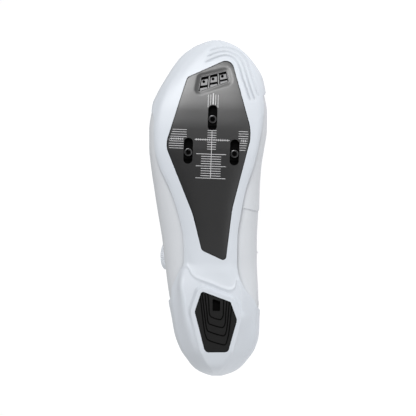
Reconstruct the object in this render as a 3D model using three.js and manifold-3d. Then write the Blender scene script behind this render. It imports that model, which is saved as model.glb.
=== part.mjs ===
// A road cycling shoe for the right foot, closed by a lace and a dial. All lengths are in millimetres.
// The shoe is shaped standing, with x from heel to toe, y towards its inner side and z up from the ground
// under the sole. It is then laid on its inner side, where heel cup, ball and collar touch the floor.
// Out and in name the outer and the inner side of the foot.
import * as THREE from 'three';
import { mergeVertices } from 'three/addons/utils/BufferGeometryUtils.js';
import { ConvexHull } from 'three/addons/math/ConvexHull.js';
import Module from 'manifold-3d';

const wasm = await Module();
wasm.setup();

// Driving dimensions of the last and the sole
const length = 280;
const ballWidth = 98.8;
const heelLift = 16.5;
const toeSpring = 25.6;
const instepRise = 77;
const soleWrap = 1.8;
const gap = 0.3;
const floorFlat = 0.35;

// Driving dimensions of the upper
const upperWall = 1.8;
const collarWall = 5.5;
const collarHeight = 86;
const lastingMargin = 9;
const panelStep = 0.8;
const throatWidth = 32;
const tongueWall = 2.4;
const tongueWidth = 50;
const insoleThickness = 3.5;

// Driving dimensions of the pieces in the sole
const plateThickness = 4.2;
const plateRecess = 0.4;
const padThickness = 4.5;
const padRecess = 0.3;
const padGrooveWidth = 1;
const padGrooveDepth = 0.8;
const boltSpacing = 38.5;
const boltForward = 28.1;
const cleatTurn = 2.08;
const slotWidth = 7.6;
const slotLength = 21.5;
const slotLead = 1.2;
const nutDiameter = 6.8;
const nutRecess = 0.7;
const threadDiameter = 4.4;
const nutFlange = 11;
const nutFlangeThickness = 1.1;
const ventDepth = 3.1;
const ventRib = 1.4;
const ventHole = 2.6;

// Driving dimensions of the closure
const dialDiameter = 25;
const dialHeight = 5.6;
const dialBaseDiameter = 28;
const dialBaseHeight = 2.6;
const dialRim = 3.2;
const dialRidges = 22;
const ridgeDepth = 0.6;
const laceDiameter = 1.4;
const laceClearance = 0.35;
const guideHeight = 3.6;
const guideLength = 15;
const guideReach = 9.5;
const laceTurn = 3.3;

const lastLength = length - 2 * soleWrap;

// Rows of named columns, from one line of names and a list of rows
function table(names, rows) {
  const keys = names.split(' ');
  return rows.map((row) => Object.fromEntries(keys.map((key, i) => [key, row[i]])));
}

// The form of the last. at: share of its length from the heel. lift and spring: height of the foot bed, in
// shares of heelLift and toeSpring. foot: half width of the flat bottom, and wide: largest half width, in
// shares of ballWidth. rise: height of the ridge over the foot bed, in shares of instepRise. belly: height of
// the widest place, in shares of that rise. ridge: how far the ridge lies inwards, in shares of ballWidth.
// full: roundness of the upper quarter, where 2 is an ellipse.
const lastRows = table('at lift spring footOut footIn wideOut wideIn rise belly ridge fullOut fullIn', [
  [0.000, 1.82, 0.00, -0.030, 0.030, -0.030, 0.030, 0.000, 0.200, 0.030, 1.75, 1.75],
  [0.008, 1.39, 0.00, 0.030, 0.090, 0.084, 0.147, 0.455, 0.200, 0.030, 1.75, 1.75],
  [0.030, 1.15, 0.00, 0.111, 0.182, 0.176, 0.247, 0.818, 0.190, 0.028, 1.75, 1.75],
  [0.066, 1.03, 0.00, 0.192, 0.258, 0.252, 0.329, 1.117, 0.174, 0.020, 1.75, 1.75],
  [0.120, 1.00, 0.00, 0.248, 0.294, 0.310, 0.373, 1.370, 0.157, 0.014, 1.75, 1.75],
  [0.174, 1.00, 0.00, 0.268, 0.299, 0.338, 0.380, 1.474, 0.155, 0.010, 1.75, 1.75],
  [0.229, 1.00, 0.00, 0.268, 0.273, 0.370, 0.394, 1.461, 0.160, 0.005, 1.78, 1.78],
  [0.283, 0.98, 0.00, 0.253, 0.228, 0.392, 0.387, 1.361, 0.180, 0.000, 1.80, 1.80],
  [0.337, 0.93, 0.00, 0.231, 0.188, 0.409, 0.381, 1.243, 0.206, 0.000, 1.82, 1.82],
  [0.410, 0.82, 0.00, 0.237, 0.191, 0.434, 0.382, 1.109, 0.234, 0.000, 1.85, 1.90],
  [0.482, 0.70, 0.00, 0.279, 0.221, 0.467, 0.392, 1.000, 0.252, 0.005, 1.86, 1.95],
  [0.554, 0.58, 0.00, 0.346, 0.261, 0.498, 0.397, 0.908, 0.257, 0.020, 1.88, 2.00],
  [0.627, 0.49, 0.00, 0.437, 0.330, 0.527, 0.411, 0.827, 0.259, 0.040, 1.90, 2.10],
  [0.681, 0.455, 0.00, 0.474, 0.366, 0.541, 0.435, 0.770, 0.258, 0.055, 1.92, 2.20],
  [0.735, 0.45, 0.027, 0.482, 0.390, 0.541, 0.457, 0.710, 0.260, 0.070, 1.95, 2.25],
  [0.789, 0.45, 0.094, 0.466, 0.405, 0.520, 0.458, 0.645, 0.262, 0.080, 2.00, 2.30],
  [0.844, 0.45, 0.215, 0.415, 0.395, 0.457, 0.431, 0.568, 0.265, 0.085, 2.05, 2.30],
  [0.891, 0.45, 0.352, 0.339, 0.354, 0.382, 0.404, 0.483, 0.274, 0.080, 2.10, 2.25],
  [0.927, 0.45, 0.484, 0.268, 0.294, 0.318, 0.349, 0.415, 0.283, 0.070, 2.10, 2.20],
  [0.956, 0.45, 0.609, 0.192, 0.223, 0.253, 0.285, 0.340, 0.298, 0.058, 2.10, 2.15],
  [0.978, 0.45, 0.727, 0.111, 0.152, 0.170, 0.215, 0.255, 0.315, 0.045, 2.10, 2.10],
  [0.992, 0.45, 0.840, 0.030, 0.081, 0.077, 0.136, 0.160, 0.320, 0.036, 2.05, 2.05],
  [1.000, 0.45, 1.000, -0.030, 0.030, -0.030, 0.030, 0.000, 0.320, 0.030, 2.00, 2.00],
]);

// The underside of the sole. lift and spring: height of its middle. edge: half width of the bottom, in shares
// of ballWidth. edgeRise: how far the edge is rounded up, in shares of heelLift.
const soleRows = table('at lift spring edgeOut edgeIn edgeRise', [
  [0.000, 1.82, 0.00, -0.030, 0.030, 0.00],
  [0.008, 0.75, 0.00, 0.000, 0.060, 0.15],
  [0.030, 0.28, 0.00, 0.070, 0.135, 0.24],
  [0.066, 0.06, 0.00, 0.150, 0.200, 0.28],
  [0.120, 0.02, 0.00, 0.210, 0.238, 0.26],
  [0.174, 0.13, 0.00, 0.250, 0.262, 0.20],
  [0.229, 0.26, 0.00, 0.272, 0.256, 0.14],
  [0.265, 0.35, 0.00, 0.290, 0.238, 0.14],
  [0.300, 0.44, 0.00, 0.275, 0.205, 0.17],
  [0.337, 0.52, 0.00, 0.236, 0.194, 0.19],
  [0.410, 0.46, 0.00, 0.242, 0.197, 0.19],
  [0.482, 0.35, 0.00, 0.284, 0.226, 0.18],
  [0.554, 0.21, 0.00, 0.351, 0.266, 0.17],
  [0.627, 0.07, 0.00, 0.442, 0.335, 0.16],
  [0.681, 0.00, 0.002, 0.479, 0.371, 0.16],
  [0.735, 0.00, 0.015, 0.487, 0.395, 0.17],
  [0.789, 0.00, 0.073, 0.467, 0.405, 0.18],
  [0.844, 0.01, 0.181, 0.410, 0.388, 0.20],
  [0.891, 0.02, 0.320, 0.330, 0.345, 0.22],
  [0.927, 0.02, 0.456, 0.258, 0.284, 0.23],
  [0.956, 0.03, 0.592, 0.182, 0.213, 0.22],
  [0.978, 0.08, 0.720, 0.100, 0.142, 0.18],
  [0.992, 0.20, 0.840, 0.020, 0.075, 0.10],
  [1.000, 0.45, 1.000, -0.030, 0.030, 0.00],
]);

// Height of the sole's upper rim over the foot bed, in shares of heelLift
const rimRows = table('at rimOut rimIn', [
  [0.000, 0.52, 0.52],
  [0.030, 1.12, 1.12],
  [0.120, 1.20, 1.20],
  [0.160, 1.14, 1.00],
  [0.195, 0.95, 0.68],
  [0.222, 0.72, 0.46],
  [0.250, 0.46, 0.28],
  [0.283, 0.26, 0.16],
  [0.310, 0.15, 0.10],
  [0.337, 0.08, 0.06],
  [0.681, 0.05, 0.05],
  [0.755, 0.05, 0.05],
  [0.800, 0.22, 0.06],
  [0.834, 0.66, 0.08],
  [0.842, 0.72, 0.14],
  [0.852, 0.80, 0.74],
  [0.880, 0.96, 0.92],
  [0.920, 0.90, 0.90],
  [0.960, 0.84, 0.84],
  [1.000, 0.60, 0.60],
]);

// How far the sole reaches beyond the edge of its bottom, in shares of ballWidth. Where it reaches far, the
// rim alone ends it.
const trimRows = table('at trimOut trimIn', [
  [0, 0.400, 0.400],
  [0.155, 0.400, 0.400],
  [0.190, 0.300, 0.135],
  [0.222, 0.098, 0.088],
  [0.257, 0.062, 0.023],
  [0.281, 0.036, 0.010],
  [0.308, 0.018, 0.009],
  [0.335, 0.010, 0.009],
  [0.482, 0.011, 0.010],
  [0.681, 0.014, 0.010],
  [0.75, 0.014, 0.018],
  [0.787, 0.045, 0.024],
  [0.8, 0.300, 0.027],
  [0.8385, 0.400, 0.029],
  [0.8485, 0.400, 0.300],
  [1, 0.400, 0.400],
]);

// Slow, smooth curve through the rows of one column, that never swings past them
const turn = (at) => Math.acos(1 - 2 * Math.min(1, Math.max(0, at))) / Math.PI;

function curve(rows, key) {
  const x = rows.map((row) => turn(row.at));
  const y = rows.map((row) => row[key]);
  const slope = x.slice(1).map((_, i) => (y[i + 1] - y[i]) / (x[i + 1] - x[i]));
  const tangent = x.map((_, i) => {
    if (i === 0) return slope[0];
    if (i === x.length - 1) return slope[i - 1];
    if (slope[i - 1] * slope[i] <= 0) return 0;
    const before = x[i] - x[i - 1];
    const after = x[i + 1] - x[i];
    const near = 2 * after + before;
    const far = after + 2 * before;
    return (near + far) / (near / slope[i - 1] + far / slope[i]);
  });
  return (at) => {
    const u = turn(at);
    let i = 0;
    while (i < x.length - 2 && u > x[i + 1]) i++;
    const step = x[i + 1] - x[i];
    const t = (u - x[i]) / step;
    const rest = 1 - t;
    return y[i] * (1 + 2 * t) * rest * rest + y[i + 1] * t * t * (3 - 2 * t)
      + step * t * rest * (tangent[i] * rest - tangent[i + 1] * t);
  };
}

function curves(rows) {
  return Object.fromEntries(Object.keys(rows[0]).map((key) => [key, curve(rows, key)]));
}

const last = curves(lastRows);
const sole = curves(soleRows);
const rim = curves(rimRows);
const trim = curves(trimRows);
const radians = THREE.MathUtils.degToRad;
const { lerp, smoothstep } = THREE.MathUtils;
const atOf = (x) => (x - soleWrap) / lastLength;
const xOf = (at) => soleWrap + at * lastLength;
const bedAt = (at) => last.lift(at) * heelLift + last.spring(at) * toeSpring;

// Measures of the last's section at one share of its length, with side -1 outwards and 1 inwards
function section(at) {
  const low = bedAt(at);
  const rise = last.rise(at) * instepRise;
  return {
    x: xOf(at),
    low,
    belly: low + rise * last.belly(at),
    top: low + rise,
    ridge: last.ridge(at) * ballWidth,
    foot: (side) => side * ballWidth * (side < 0 ? last.footOut(at) : last.footIn(at)),
    wide: (side) => side * ballWidth * (side < 0 ? last.wideOut(at) : last.wideIn(at)),
    full: (side) => (side < 0 ? last.fullOut(at) : last.fullIn(at)),
  };
}

// A point of the last's skin: 90 degrees is the ridge, 0 the widest place and -90 the edge of the flat bottom
function skinPoint(at, side, degrees) {
  const cut = section(at);
  const cos = Math.max(0, Math.cos(radians(degrees)));
  const sin = Math.sin(radians(Math.abs(degrees)));
  if (degrees >= 0) {
    const power = 2 / cut.full(side);
    const y = lerp(cut.ridge, cut.wide(side), cos ** power);
    return new THREE.Vector3(cut.x, y, lerp(cut.belly, cut.top, sin ** power));
  }
  const y = lerp(cut.foot(side), cut.wide(side), cos);
  return new THREE.Vector3(cut.x, y, lerp(cut.belly, cut.low, sin));
}

// The skin point over a place in the plan, and the skin's normal there
function skinOver(x, y) {
  const at = atOf(x);
  const cut = section(at);
  const side = y < cut.ridge ? -1 : 1;
  const reach = Math.min(1, (y - cut.ridge) / (cut.wide(side) - cut.ridge));
  const degrees = THREE.MathUtils.radToDeg(Math.acos(reach ** (cut.full(side) / 2)));
  return { at, side, degrees };
}

const normalStep = 0.004;
const normalTurn = 1.5;

function skinNormal(at, side, degrees) {
  const along = skinPoint(at + normalStep, side, degrees).sub(skinPoint(at - normalStep, side, degrees));
  const round = skinPoint(at, side, degrees - normalTurn).sub(skinPoint(at, side, degrees + normalTurn));
  return along.cross(round).multiplyScalar(side).normalize();
}

function overSkin(x, y, height) {
  const { at, side, degrees } = skinOver(x, y);
  return skinPoint(at, side, degrees).addScaledVector(skinNormal(at, side, degrees), height);
}

const upperSteps = 5;
const lowerSteps = 4;
const bottomSteps = 2;
const stationCount = 24;
const stations = Array.from({ length: stationCount - 1 }, (_, i) => {
  return (1 - Math.cos((Math.PI * (i + 1)) / stationCount)) / 2;
});

// The ring of the section from the ridge down the inner side, along the bottom and up the outer side
function lastRing(at) {
  const ring = [];
  for (let i = 0; i < upperSteps; i++) ring.push(skinPoint(at, 1, 90 * (1 - i / upperSteps)));
  for (let i = 0; i < lowerSteps; i++) ring.push(skinPoint(at, 1, (-90 * i) / lowerSteps));
  for (let i = 0; i <= bottomSteps; i++) {
    ring.push(skinPoint(at, 1, -90).lerp(skinPoint(at, -1, -90), i / bottomSteps));
  }
  for (let i = lowerSteps - 1; i >= 0; i--) ring.push(skinPoint(at, -1, (-90 * i) / lowerSteps));
  for (let i = upperSteps - 1; i > 0; i--) ring.push(skinPoint(at, -1, 90 * (1 - i / upperSteps)));
  return ring;
}

const lastRings = stations.map(lastRing);
const heelPole = new THREE.Vector3(xOf(0), last.wideIn(0) * ballWidth, bedAt(0));
const toePole = new THREE.Vector3(xOf(1), last.wideIn(1) * ballWidth, bedAt(1));

// Normals of the rings, lengthened where the section bends so that offset walls keep their thickness
const sharpest = 0.75;
const lastNormals = lastRings.map((ring, i) => ring.map((point, j) => {
  const ahead = lastRings[i + 1] ? lastRings[i + 1][j] : toePole;
  const behind = lastRings[i - 1] ? lastRings[i - 1][j] : heelPole;
  const along = ahead.clone().sub(behind);
  const next = ring[(j + 1) % ring.length].clone().sub(point);
  const previous = point.clone().sub(ring[(j + ring.length - 1) % ring.length]);
  const a = along.clone().cross(next).normalize();
  const b = along.clone().cross(previous).normalize();
  const normal = a.clone().add(b).normalize();
  return normal.divideScalar(Math.max(sharpest, normal.dot(a)));
}));

function solidFrom(positions, faces) {
  const mesh = new wasm.Mesh({
    numProp: 3,
    vertProperties: new Float32Array(positions),
    triVerts: new Uint32Array(faces),
  });
  return new wasm.Manifold(mesh);
}

// A closed solid through rings of points, ending in a point at the heel and another at the toe
function skinned(rings, start, end) {
  const count = rings[0].length;
  const points = [start, ...rings.flat(), end];
  const index = (i, j) => 1 + i * count + (j % count);
  const faces = [];
  for (let j = 0; j < count; j++) {
    faces.push(0, index(0, j), index(0, j + 1));
    faces.push(index(rings.length - 1, j), points.length - 1, index(rings.length - 1, j + 1));
    for (let i = 0; i < rings.length - 1; i++) {
      faces.push(index(i, j), index(i + 1, j), index(i, j + 1));
      faces.push(index(i, j + 1), index(i + 1, j), index(i + 1, j + 1));
    }
  }
  return solidFrom(points.flatMap((point) => point.toArray()), faces);
}

// The last grown or shrunk along its normals by a distance, which may differ from point to point
function lastSolid(distance) {
  const grow = typeof distance === 'function' ? distance : () => distance;
  const rings = lastRings.map((ring, i) => ring.map((point, j) => {
    return point.clone().addScaledVector(lastNormals[i][j], grow(point));
  }));
  const back = heelPole.clone().setX(heelPole.x - grow(heelPole));
  const front = toePole.clone().setX(toePole.x + grow(toePole));
  return skinned(rings, back, front);
}

// A closed solid between two heights over a grid in the plan
function slab(xs, across, low, high) {
  const rows = xs.map((x) => across(x).map((y) => [x, y]));
  const width = rows[0].length;
  const flat = rows.flat();
  const half = flat.length;
  const positions = [
    ...flat.flatMap(([x, y]) => [x, y, low(x, y)]),
    ...flat.flatMap(([x, y]) => [x, y, high(x, y)]),
  ];
  const faces = [];
  const wall = (a, b) => faces.push(b, a, a + half, b, a + half, b + half);
  for (let i = 0; i < rows.length - 1; i++) {
    for (let j = 0; j < width - 1; j++) {
      const a = i * width + j;
      faces.push(a, a + 1, a + width, a + 1, a + width + 1, a + width);
      faces.push(half + a, half + a + width, half + a + 1);
      faces.push(half + a + 1, half + a + width, half + a + width + 1);
    }
    wall((i + 1) * width, i * width);
    wall(i * width + width - 1, (i + 1) * width + width - 1);
  }
  for (let j = 0; j < width - 1; j++) {
    wall(j, j + 1);
    wall((rows.length - 1) * width + j + 1, (rows.length - 1) * width + j);
  }
  return solidFrom(positions, faces);
}

const spread = (from, to, steps) => Array.from({ length: steps + 1 }, (_, i) => lerp(from, to, i / steps));

// A geometry of three.js as a solid
function solidOf(geometry) {
  const bare = geometry.clone();
  bare.deleteAttribute('normal');
  bare.deleteAttribute('uv');
  const merged = mergeVertices(bare, 1e-4);
  return solidFrom(merged.attributes.position.array, merged.index.array);
}

// Points of an outline with rounded corners, grown outwards; a corner is x, y and its radius
const arcSteps = 2;

function outline(corners, grow = 0) {
  const count = corners.length;
  const edges = corners.map((corner, i) => {
    const next = corners[(i + 1) % count];
    const direction = new THREE.Vector2(next[0] - corner[0], next[1] - corner[1]).normalize();
    const outward = new THREE.Vector2(direction.y, -direction.x);
    return { direction, start: new THREE.Vector2(corner[0], corner[1]).addScaledVector(outward, grow) };
  });
  return corners.flatMap((corner, i) => {
    const before = edges[(i + count - 1) % count];
    const after = edges[i];
    const bend = before.direction.cross(after.direction);
    const between = after.start.clone().sub(before.start);
    const tip = before.start.clone().addScaledVector(before.direction, between.cross(after.direction) / bend);
    const angle = Math.atan2(bend, before.direction.dot(after.direction));
    const radius = Math.max(0.05, corner[2] + Math.sign(bend) * grow);
    const inset = radius * Math.tan(Math.abs(angle) / 2);
    const from = tip.clone().addScaledVector(before.direction, -inset);
    const side = new THREE.Vector2(-before.direction.y, before.direction.x).multiplyScalar(Math.sign(bend));
    const centre = from.clone().addScaledVector(side, radius);
    return Array.from({ length: arcSteps + 1 }, (_, k) => {
      return from.clone().rotateAround(centre, (angle * k) / arcSteps);
    });
  });
}

// A straight block over an outline in the plan
function prism(points, from, to) {
  const geometry = new THREE.ExtrudeGeometry(new THREE.Shape(points), { depth: to - from, bevelEnabled: false });
  return solidOf(geometry.translate(0, 0, from));
}

// A block through the shoe from side to side, over an outline in the side view given as x and z
function sidePrism(points, from, to) {
  const shape = new THREE.Shape(points.map(([x, z]) => new THREE.Vector2(x, z)));
  const geometry = new THREE.ExtrudeGeometry(shape, { depth: to - from, bevelEnabled: false });
  return solidOf(geometry.rotateX(Math.PI / 2).translate(0, to, 0));
}

const smoothLine = (points, steps) => {
  const path = new THREE.SplineCurve(points.map(([x, z]) => new THREE.Vector2(x, z)));
  return path.getPoints(steps).map((point) => [point.x, point.y]);
};

// Corners in shares of length and ballWidth, with radii in millimetres, in turn against the clock
const sized = (corners) => corners.map(([x, y, radius]) => [x * length, y * ballWidth, radius]);
const plateCorners = sized([
  [0.3411, 0.1043, 2.5],
  [0.3736, -0.0941, 4.2],
  [0.4811, -0.1690, 80],
  [0.6854, -0.3988, 18],
  [0.8875, -0.2156, 5],
  [0.9461, 0.1508, 6.7],
  [0.7207, 0.3249, 36],
  [0.4961, 0.1589, 60],
]);
const padCorners = sized([
  [0.0714, -0.0648, 3.8],
  [0.1918, -0.1518, 6.5],
  [0.2511, -0.0951, 2.1],
  [0.2196, 0.1447, 1.7],
  [0.1671, 0.1994, 6.5],
  [0.0718, 0.1235, 3.3],
]);
const ventCorners = sized([
  [0.8443, -0.1265, 1.5],
  [0.8889, -0.1022, 1.5],
  [0.9082, 0.1154, 1.5],
  [0.8761, 0.1346, 1.5],
]);
const padHoleCorners = sized([
  [0.1932, -0.0042, 0.8],
  [0.2296, -0.0042, 0.8],
  [0.2225, 0.0600, 0.8],
  [0.1932, 0.0600, 0.8],
]);

// Distance to a closed outline, positive inside
function inside(points, x, y) {
  let nearest = Infinity;
  let within = false;
  points.forEach((a, i) => {
    const b = points[(i + 1) % points.length];
    const t = Math.min(1, Math.max(0, ((x - a.x) * (b.x - a.x) + (y - a.y) * (b.y - a.y)) / a.distanceToSquared(b)));
    nearest = Math.min(nearest, Math.hypot(x - lerp(a.x, b.x, t), y - lerp(a.y, b.y, t)));
    if ((a.y > y) !== (b.y > y) && x < a.x + ((y - a.y) * (b.x - a.x)) / (b.y - a.y)) within = !within;
  });
  return within ? nearest : -nearest;
}

// Relief of the heel: a level tread around the pad, a trough round it, a rib along the heel's edge and a
// rib across the front of the heel. Heights are in millimetres, and a positive height goes up, into the sole.
const treadBorder = 3.4;
const treadSlope = 2.6;
const edgeRib = { height: 1, width: 2.4, from: 0.13, to: 0.31 };
const crossRib = { height: 1, width: 1.7, hollow: 0.9, hollowAt: 7 };
const crossRibRows = [
  [-0.215, 0.327], [-0.185, 0.306], [-0.145, 0.293], [-0.074, 0.283], [0.003, 0.273],
  [0.066, 0.263], [0.130, 0.256], [0.165, 0.258], [0.190, 0.267], [0.203, 0.285],
];
const treadOutline = outline(padCorners, treadBorder);

function crossRibX(y) {
  const share = y / ballWidth;
  let i = 0;
  while (i < crossRibRows.length - 2 && share > crossRibRows[i + 1][0]) i++;
  const [a, b] = [crossRibRows[i], crossRibRows[i + 1]];
  const t = Math.min(1, Math.max(0, (share - a[0]) / (b[0] - a[0])));
  return lerp(a[1], b[1], t) * length;
}

const hill = (distance, width) => Math.exp(-((distance / width) ** 2));

function soleBottom(x, y) {
  const at = atOf(x);
  const base = sole.lift(at) * heelLift + sole.spring(at) * toeSpring;
  const edge = ballWidth * (y < 0 ? -sole.edgeOut(at) : sole.edgeIn(at));
  const share = Math.abs(edge) < 1 ? 0 : Math.min(1, Math.max(0, y / edge));
  const rounded = base + sole.edgeRise(at) * heelLift * share ** 5;
  if (x > crossRibRows[0][1] * length + 3 * crossRib.hollowAt) return rounded;
  const tread = smoothstep(inside(treadOutline, x, y), -treadSlope, 0);
  const ribAlong = smoothstep(x / length, edgeRib.from, edgeRib.from + 0.05)
    * (1 - smoothstep(x / length, edgeRib.to - 0.05, edgeRib.to));
  const edgeLine = edgeRib.height * ribAlong * hill(Math.abs(y) - 0.94 * Math.abs(edge), edgeRib.width);
  const ahead = x - crossRibX(y);
  const across = crossRib.height * hill(ahead, crossRib.width);
  const hollow = crossRib.hollow * hill(ahead - crossRib.hollowAt, 0.8 * crossRib.hollowAt);
  const shaped = rounded - edgeLine - across + hollow;
  return lerp(shaped, Math.min(shaped, base * (1 - smoothstep(x / length, 0.05, 0.09))), tread);
}

// The outer form of the sole: the last grown by its wrap, with the bottom in place of the foot bed
const bottomShares = [1, 0.93, 0.78, 0.5, 0.17, -0.17, -0.5, -0.78, -0.93, -1];
const soleStations = [
  ...spread(0.008, 0.1, 4),
  ...spread(0.122, 0.34, 11),
  ...spread(0.39, 0.83, 7),
  ...spread(0.865, 0.99, 5),
  0.9965,
];

function soleRing(at, normalsAt) {
  const cut = section(at);
  const ring = [];
  const wrapped = (side, degrees) => {
    return skinPoint(at, side, degrees).addScaledVector(normalsAt(at, side, degrees), soleWrap);
  };
  const lowest = -70;
  for (let i = 0; i < upperSteps; i++) ring.push(wrapped(1, 90 * (1 - i / upperSteps)));
  for (let i = 0; i < lowerSteps; i++) ring.push(wrapped(1, (lowest * i) / (lowerSteps - 1)));
  const corner = (side) => {
    const point = wrapped(side, lowest);
    const edge = side * ballWidth * (side < 0 ? sole.edgeOut(at) : sole.edgeIn(at));
    return { point, edge };
  };
  const inner = corner(1);
  const outer = corner(-1);
  const x = (inner.point.x + outer.point.x) / 2;
  const beside = (side, { point, edge }) => {
    const z = soleBottom(x, edge);
    const foot = cut.foot(side) + side * soleWrap * 0.7;
    return new THREE.Vector3(x, lerp(foot, edge, 0.35), lerp(cut.low, z, 0.4));
  };
  ring.push(beside(1, inner));
  for (const share of bottomShares) {
    const y = share > 0 ? share * inner.edge : -share * outer.edge;
    const place = inner.edge < 0 || outer.edge > 0 ? lerp(outer.edge, inner.edge, (share + 1) / 2) : y;
    ring.push(new THREE.Vector3(x, place, soleBottom(x, place)));
  }
  ring.push(beside(-1, outer));
  for (let i = lowerSteps - 1; i >= 0; i--) ring.push(wrapped(-1, (lowest * i) / (lowerSteps - 1)));
  for (let i = upperSteps - 1; i > 0; i--) ring.push(wrapped(-1, 90 * (1 - i / upperSteps)));
  return ring;
}

function soleForm() {
  const rings = soleStations.map((at) => soleRing(at, skinNormal));
  const back = heelPole.clone().setX(heelPole.x - soleWrap);
  const front = toePole.clone().setX(toePole.x + soleWrap);
  return skinned(rings, back, front);
}

const farOut = 120;
const farUp = 220;
const farDown = -60;

function rimHeight(x, y) {
  const at = atOf(x);
  const share = (y / ballWidth + 0.45) / 0.9;
  return bedAt(at) + heelLift * lerp(rim.rimOut(at), rim.rimIn(at), share);
}

function aboveRim() {
  const xs = [-20, ...rimRows.slice(1, -1).flatMap((row, i) => {
    const next = rimRows[i + 2].at;
    return spread(xOf(row.at), xOf(lerp(row.at, next, 0.66)), 2);
  }), length + 20];
  return slab(xs, () => [-farOut, farOut], rimHeight, () => farUp);
}

// The sole's outline in the plan
function soleOutline() {
  const xs = [-20, ...trimRows.slice(1, -1).flatMap((row, i) => {
    return spread(xOf(row.at), xOf(lerp(row.at, trimRows[i + 2].at, 0.6)), 2);
  }), length + 20];
  const reach = (x) => {
    const at = Math.min(1, Math.max(0, atOf(x)));
    return [-(sole.edgeOut(at) + trim.trimOut(at)) * ballWidth, (sole.edgeIn(at) + trim.trimIn(at)) * ballWidth];
  };
  return slab(xs, reach, () => farDown, () => farUp);
}

const acrossPlate = () => spread(-0.44 * ballWidth, 0.38 * ballWidth, 6);
const plateXs = spread(0.32 * length, 0.975 * length, 12);

function layer(xs, across, surface, from, to) {
  return slab(xs, across, (x, y) => surface(x, y) + from, (x, y) => surface(x, y) + to);
}

function makeOutsole() {
  const platePocket = prism(outline(plateCorners, gap), farDown, farUp)
    .intersect(layer(plateXs, acrossPlate, soleBottom, farDown, plateThickness + gap));
  const padPocket = prism(outline(padCorners, gap), farDown, padThickness + gap);
  return soleForm()
    .intersect(soleOutline())
    .subtract(aboveRim())
    .subtract(lastSolid(gap))
    .subtract(platePocket)
    .subtract(padPocket);
}

// Places of the cleat bolts, in a frame turned with the cleat and centred between the two rear bolts
const cleatCentre = new THREE.Vector2(0.6621 * length, -0.0147 * ballWidth);
const cleatPoint = (ahead, inward) => {
  return new THREE.Vector2(ahead, inward).rotateAround(new THREE.Vector2(), radians(cleatTurn)).add(cleatCentre);
};
const bolts = {
  front: cleatPoint(boltForward, 0),
  outer: cleatPoint(0, -boltSpacing / 2),
  inner: cleatPoint(0, boltSpacing / 2),
};

function slotOutline(bolt, width, long, lead) {
  const half = { x: long / 2, y: width / 2 };
  const corners = [[-half.x, -half.y], [half.x, -half.y], [half.x, half.y], [-half.x, half.y]];
  const centre = new THREE.Vector2();
  return outline(corners.map(([x, y]) => {
    const point = new THREE.Vector2(x + lead, y).rotateAround(centre, radians(cleatTurn)).add(bolt);
    return [point.x, point.y, half.y * 0.98];
  }));
}

function makePlate() {
  const recess = prism(outline(ventCorners, 2.6), farDown, farUp)
    .intersect(layer(plateXs, acrossPlate, soleBottom, farDown, plateRecess + 0.7));
  const pocket = prism(outline(ventCorners, gap), farDown, farUp)
    .intersect(layer(plateXs, acrossPlate, soleBottom, farDown, plateThickness - 0.9));
  let plate = prism(outline(plateCorners), farDown, farUp)
    .intersect(layer(plateXs, acrossPlate, soleBottom, plateRecess, plateThickness))
    .subtract(recess)
    .subtract(pocket);
  for (const bolt of Object.values(bolts)) {
    const flangeRoom = prism(slotOutline(bolt, nutFlange + 2 * gap, slotLength + 4, slotLead), farDown, farUp)
      .intersect(layer(plateXs, acrossPlate, soleBottom, plateThickness - nutFlangeThickness - 2 * gap, 60));
    plate = plate.subtract(prism(slotOutline(bolt, slotWidth, slotLength, slotLead), farDown, farUp));
    plate = plate.subtract(flangeRoom);
  }
  return plate;
}

// A threaded nut: a round boss in the slot, held by a flange between plate and sole
function makeNut(bolt) {
  const base = soleBottom(bolt.x, bolt.y);
  const top = base + plateThickness - gap;
  const half = nutFlange / 2;
  const flange = prism(outline([
    [bolt.x - half, bolt.y - half, 2],
    [bolt.x + half, bolt.y - half, 2],
    [bolt.x + half, bolt.y + half, 2],
    [bolt.x - half, bolt.y + half, 2],
  ]), farDown, farUp).intersect(layer(
    plateXs, acrossPlate, soleBottom, plateThickness - gap - nutFlangeThickness, plateThickness - gap,
  ));
  const round = (diameter, from, to) => {
    const geometry = new THREE.CylinderGeometry(diameter / 2, diameter / 2, to - from, 12);
    return solidOf(geometry.rotateX(Math.PI / 2).translate(bolt.x, bolt.y, (from + to) / 2));
  };
  return flange
    .add(round(nutDiameter, base + nutRecess, top - nutFlangeThickness / 2))
    .subtract(round(threadDiameter, farDown, farUp));
}

// The grille in the toe vent: three pockets between ribs, each with a hole in its floor
function makeVent() {
  const floor = plateThickness - 0.9 - gap;
  const cells = spread(0, 1, 3).slice(0, 3).map((share) => {
    const edge = (a, b, from) => [
      lerp(ventCorners[a][0], ventCorners[b][0], from),
      lerp(ventCorners[a][1], ventCorners[b][1], from),
    ];
    const inset = ventRib / 2 / (0.25 * ballWidth);
    const corners = [
      [...edge(0, 3, share + inset), 0.4],
      [...edge(1, 2, share + inset), 0.4],
      [...edge(1, 2, share + 1 / 3 - inset), 0.4],
      [...edge(0, 3, share + 1 / 3 - inset), 0.4],
    ];
    return corners;
  });
  let vent = prism(outline(ventCorners), farDown, farUp)
    .intersect(layer(plateXs, acrossPlate, soleBottom, floor - ventDepth + 0.9, floor));
  for (const corners of cells) {
    const x = corners.reduce((sum, corner) => sum + corner[0], 0) / 4;
    const y = corners.reduce((sum, corner) => sum + corner[1], 0) / 4;
    const hole = new THREE.CylinderGeometry(ventHole / 2, ventHole / 2, farUp, 8).rotateX(Math.PI / 2);
    const pocket = prism(outline(corners, -0.3), farDown, farUp)
      .intersect(layer(plateXs, acrossPlate, soleBottom, farDown, floor - 0.8));
    vent = vent.subtract(pocket).subtract(solidOf(hole.translate(x + 1, y, 0)));
  }
  return vent;
}

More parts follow.
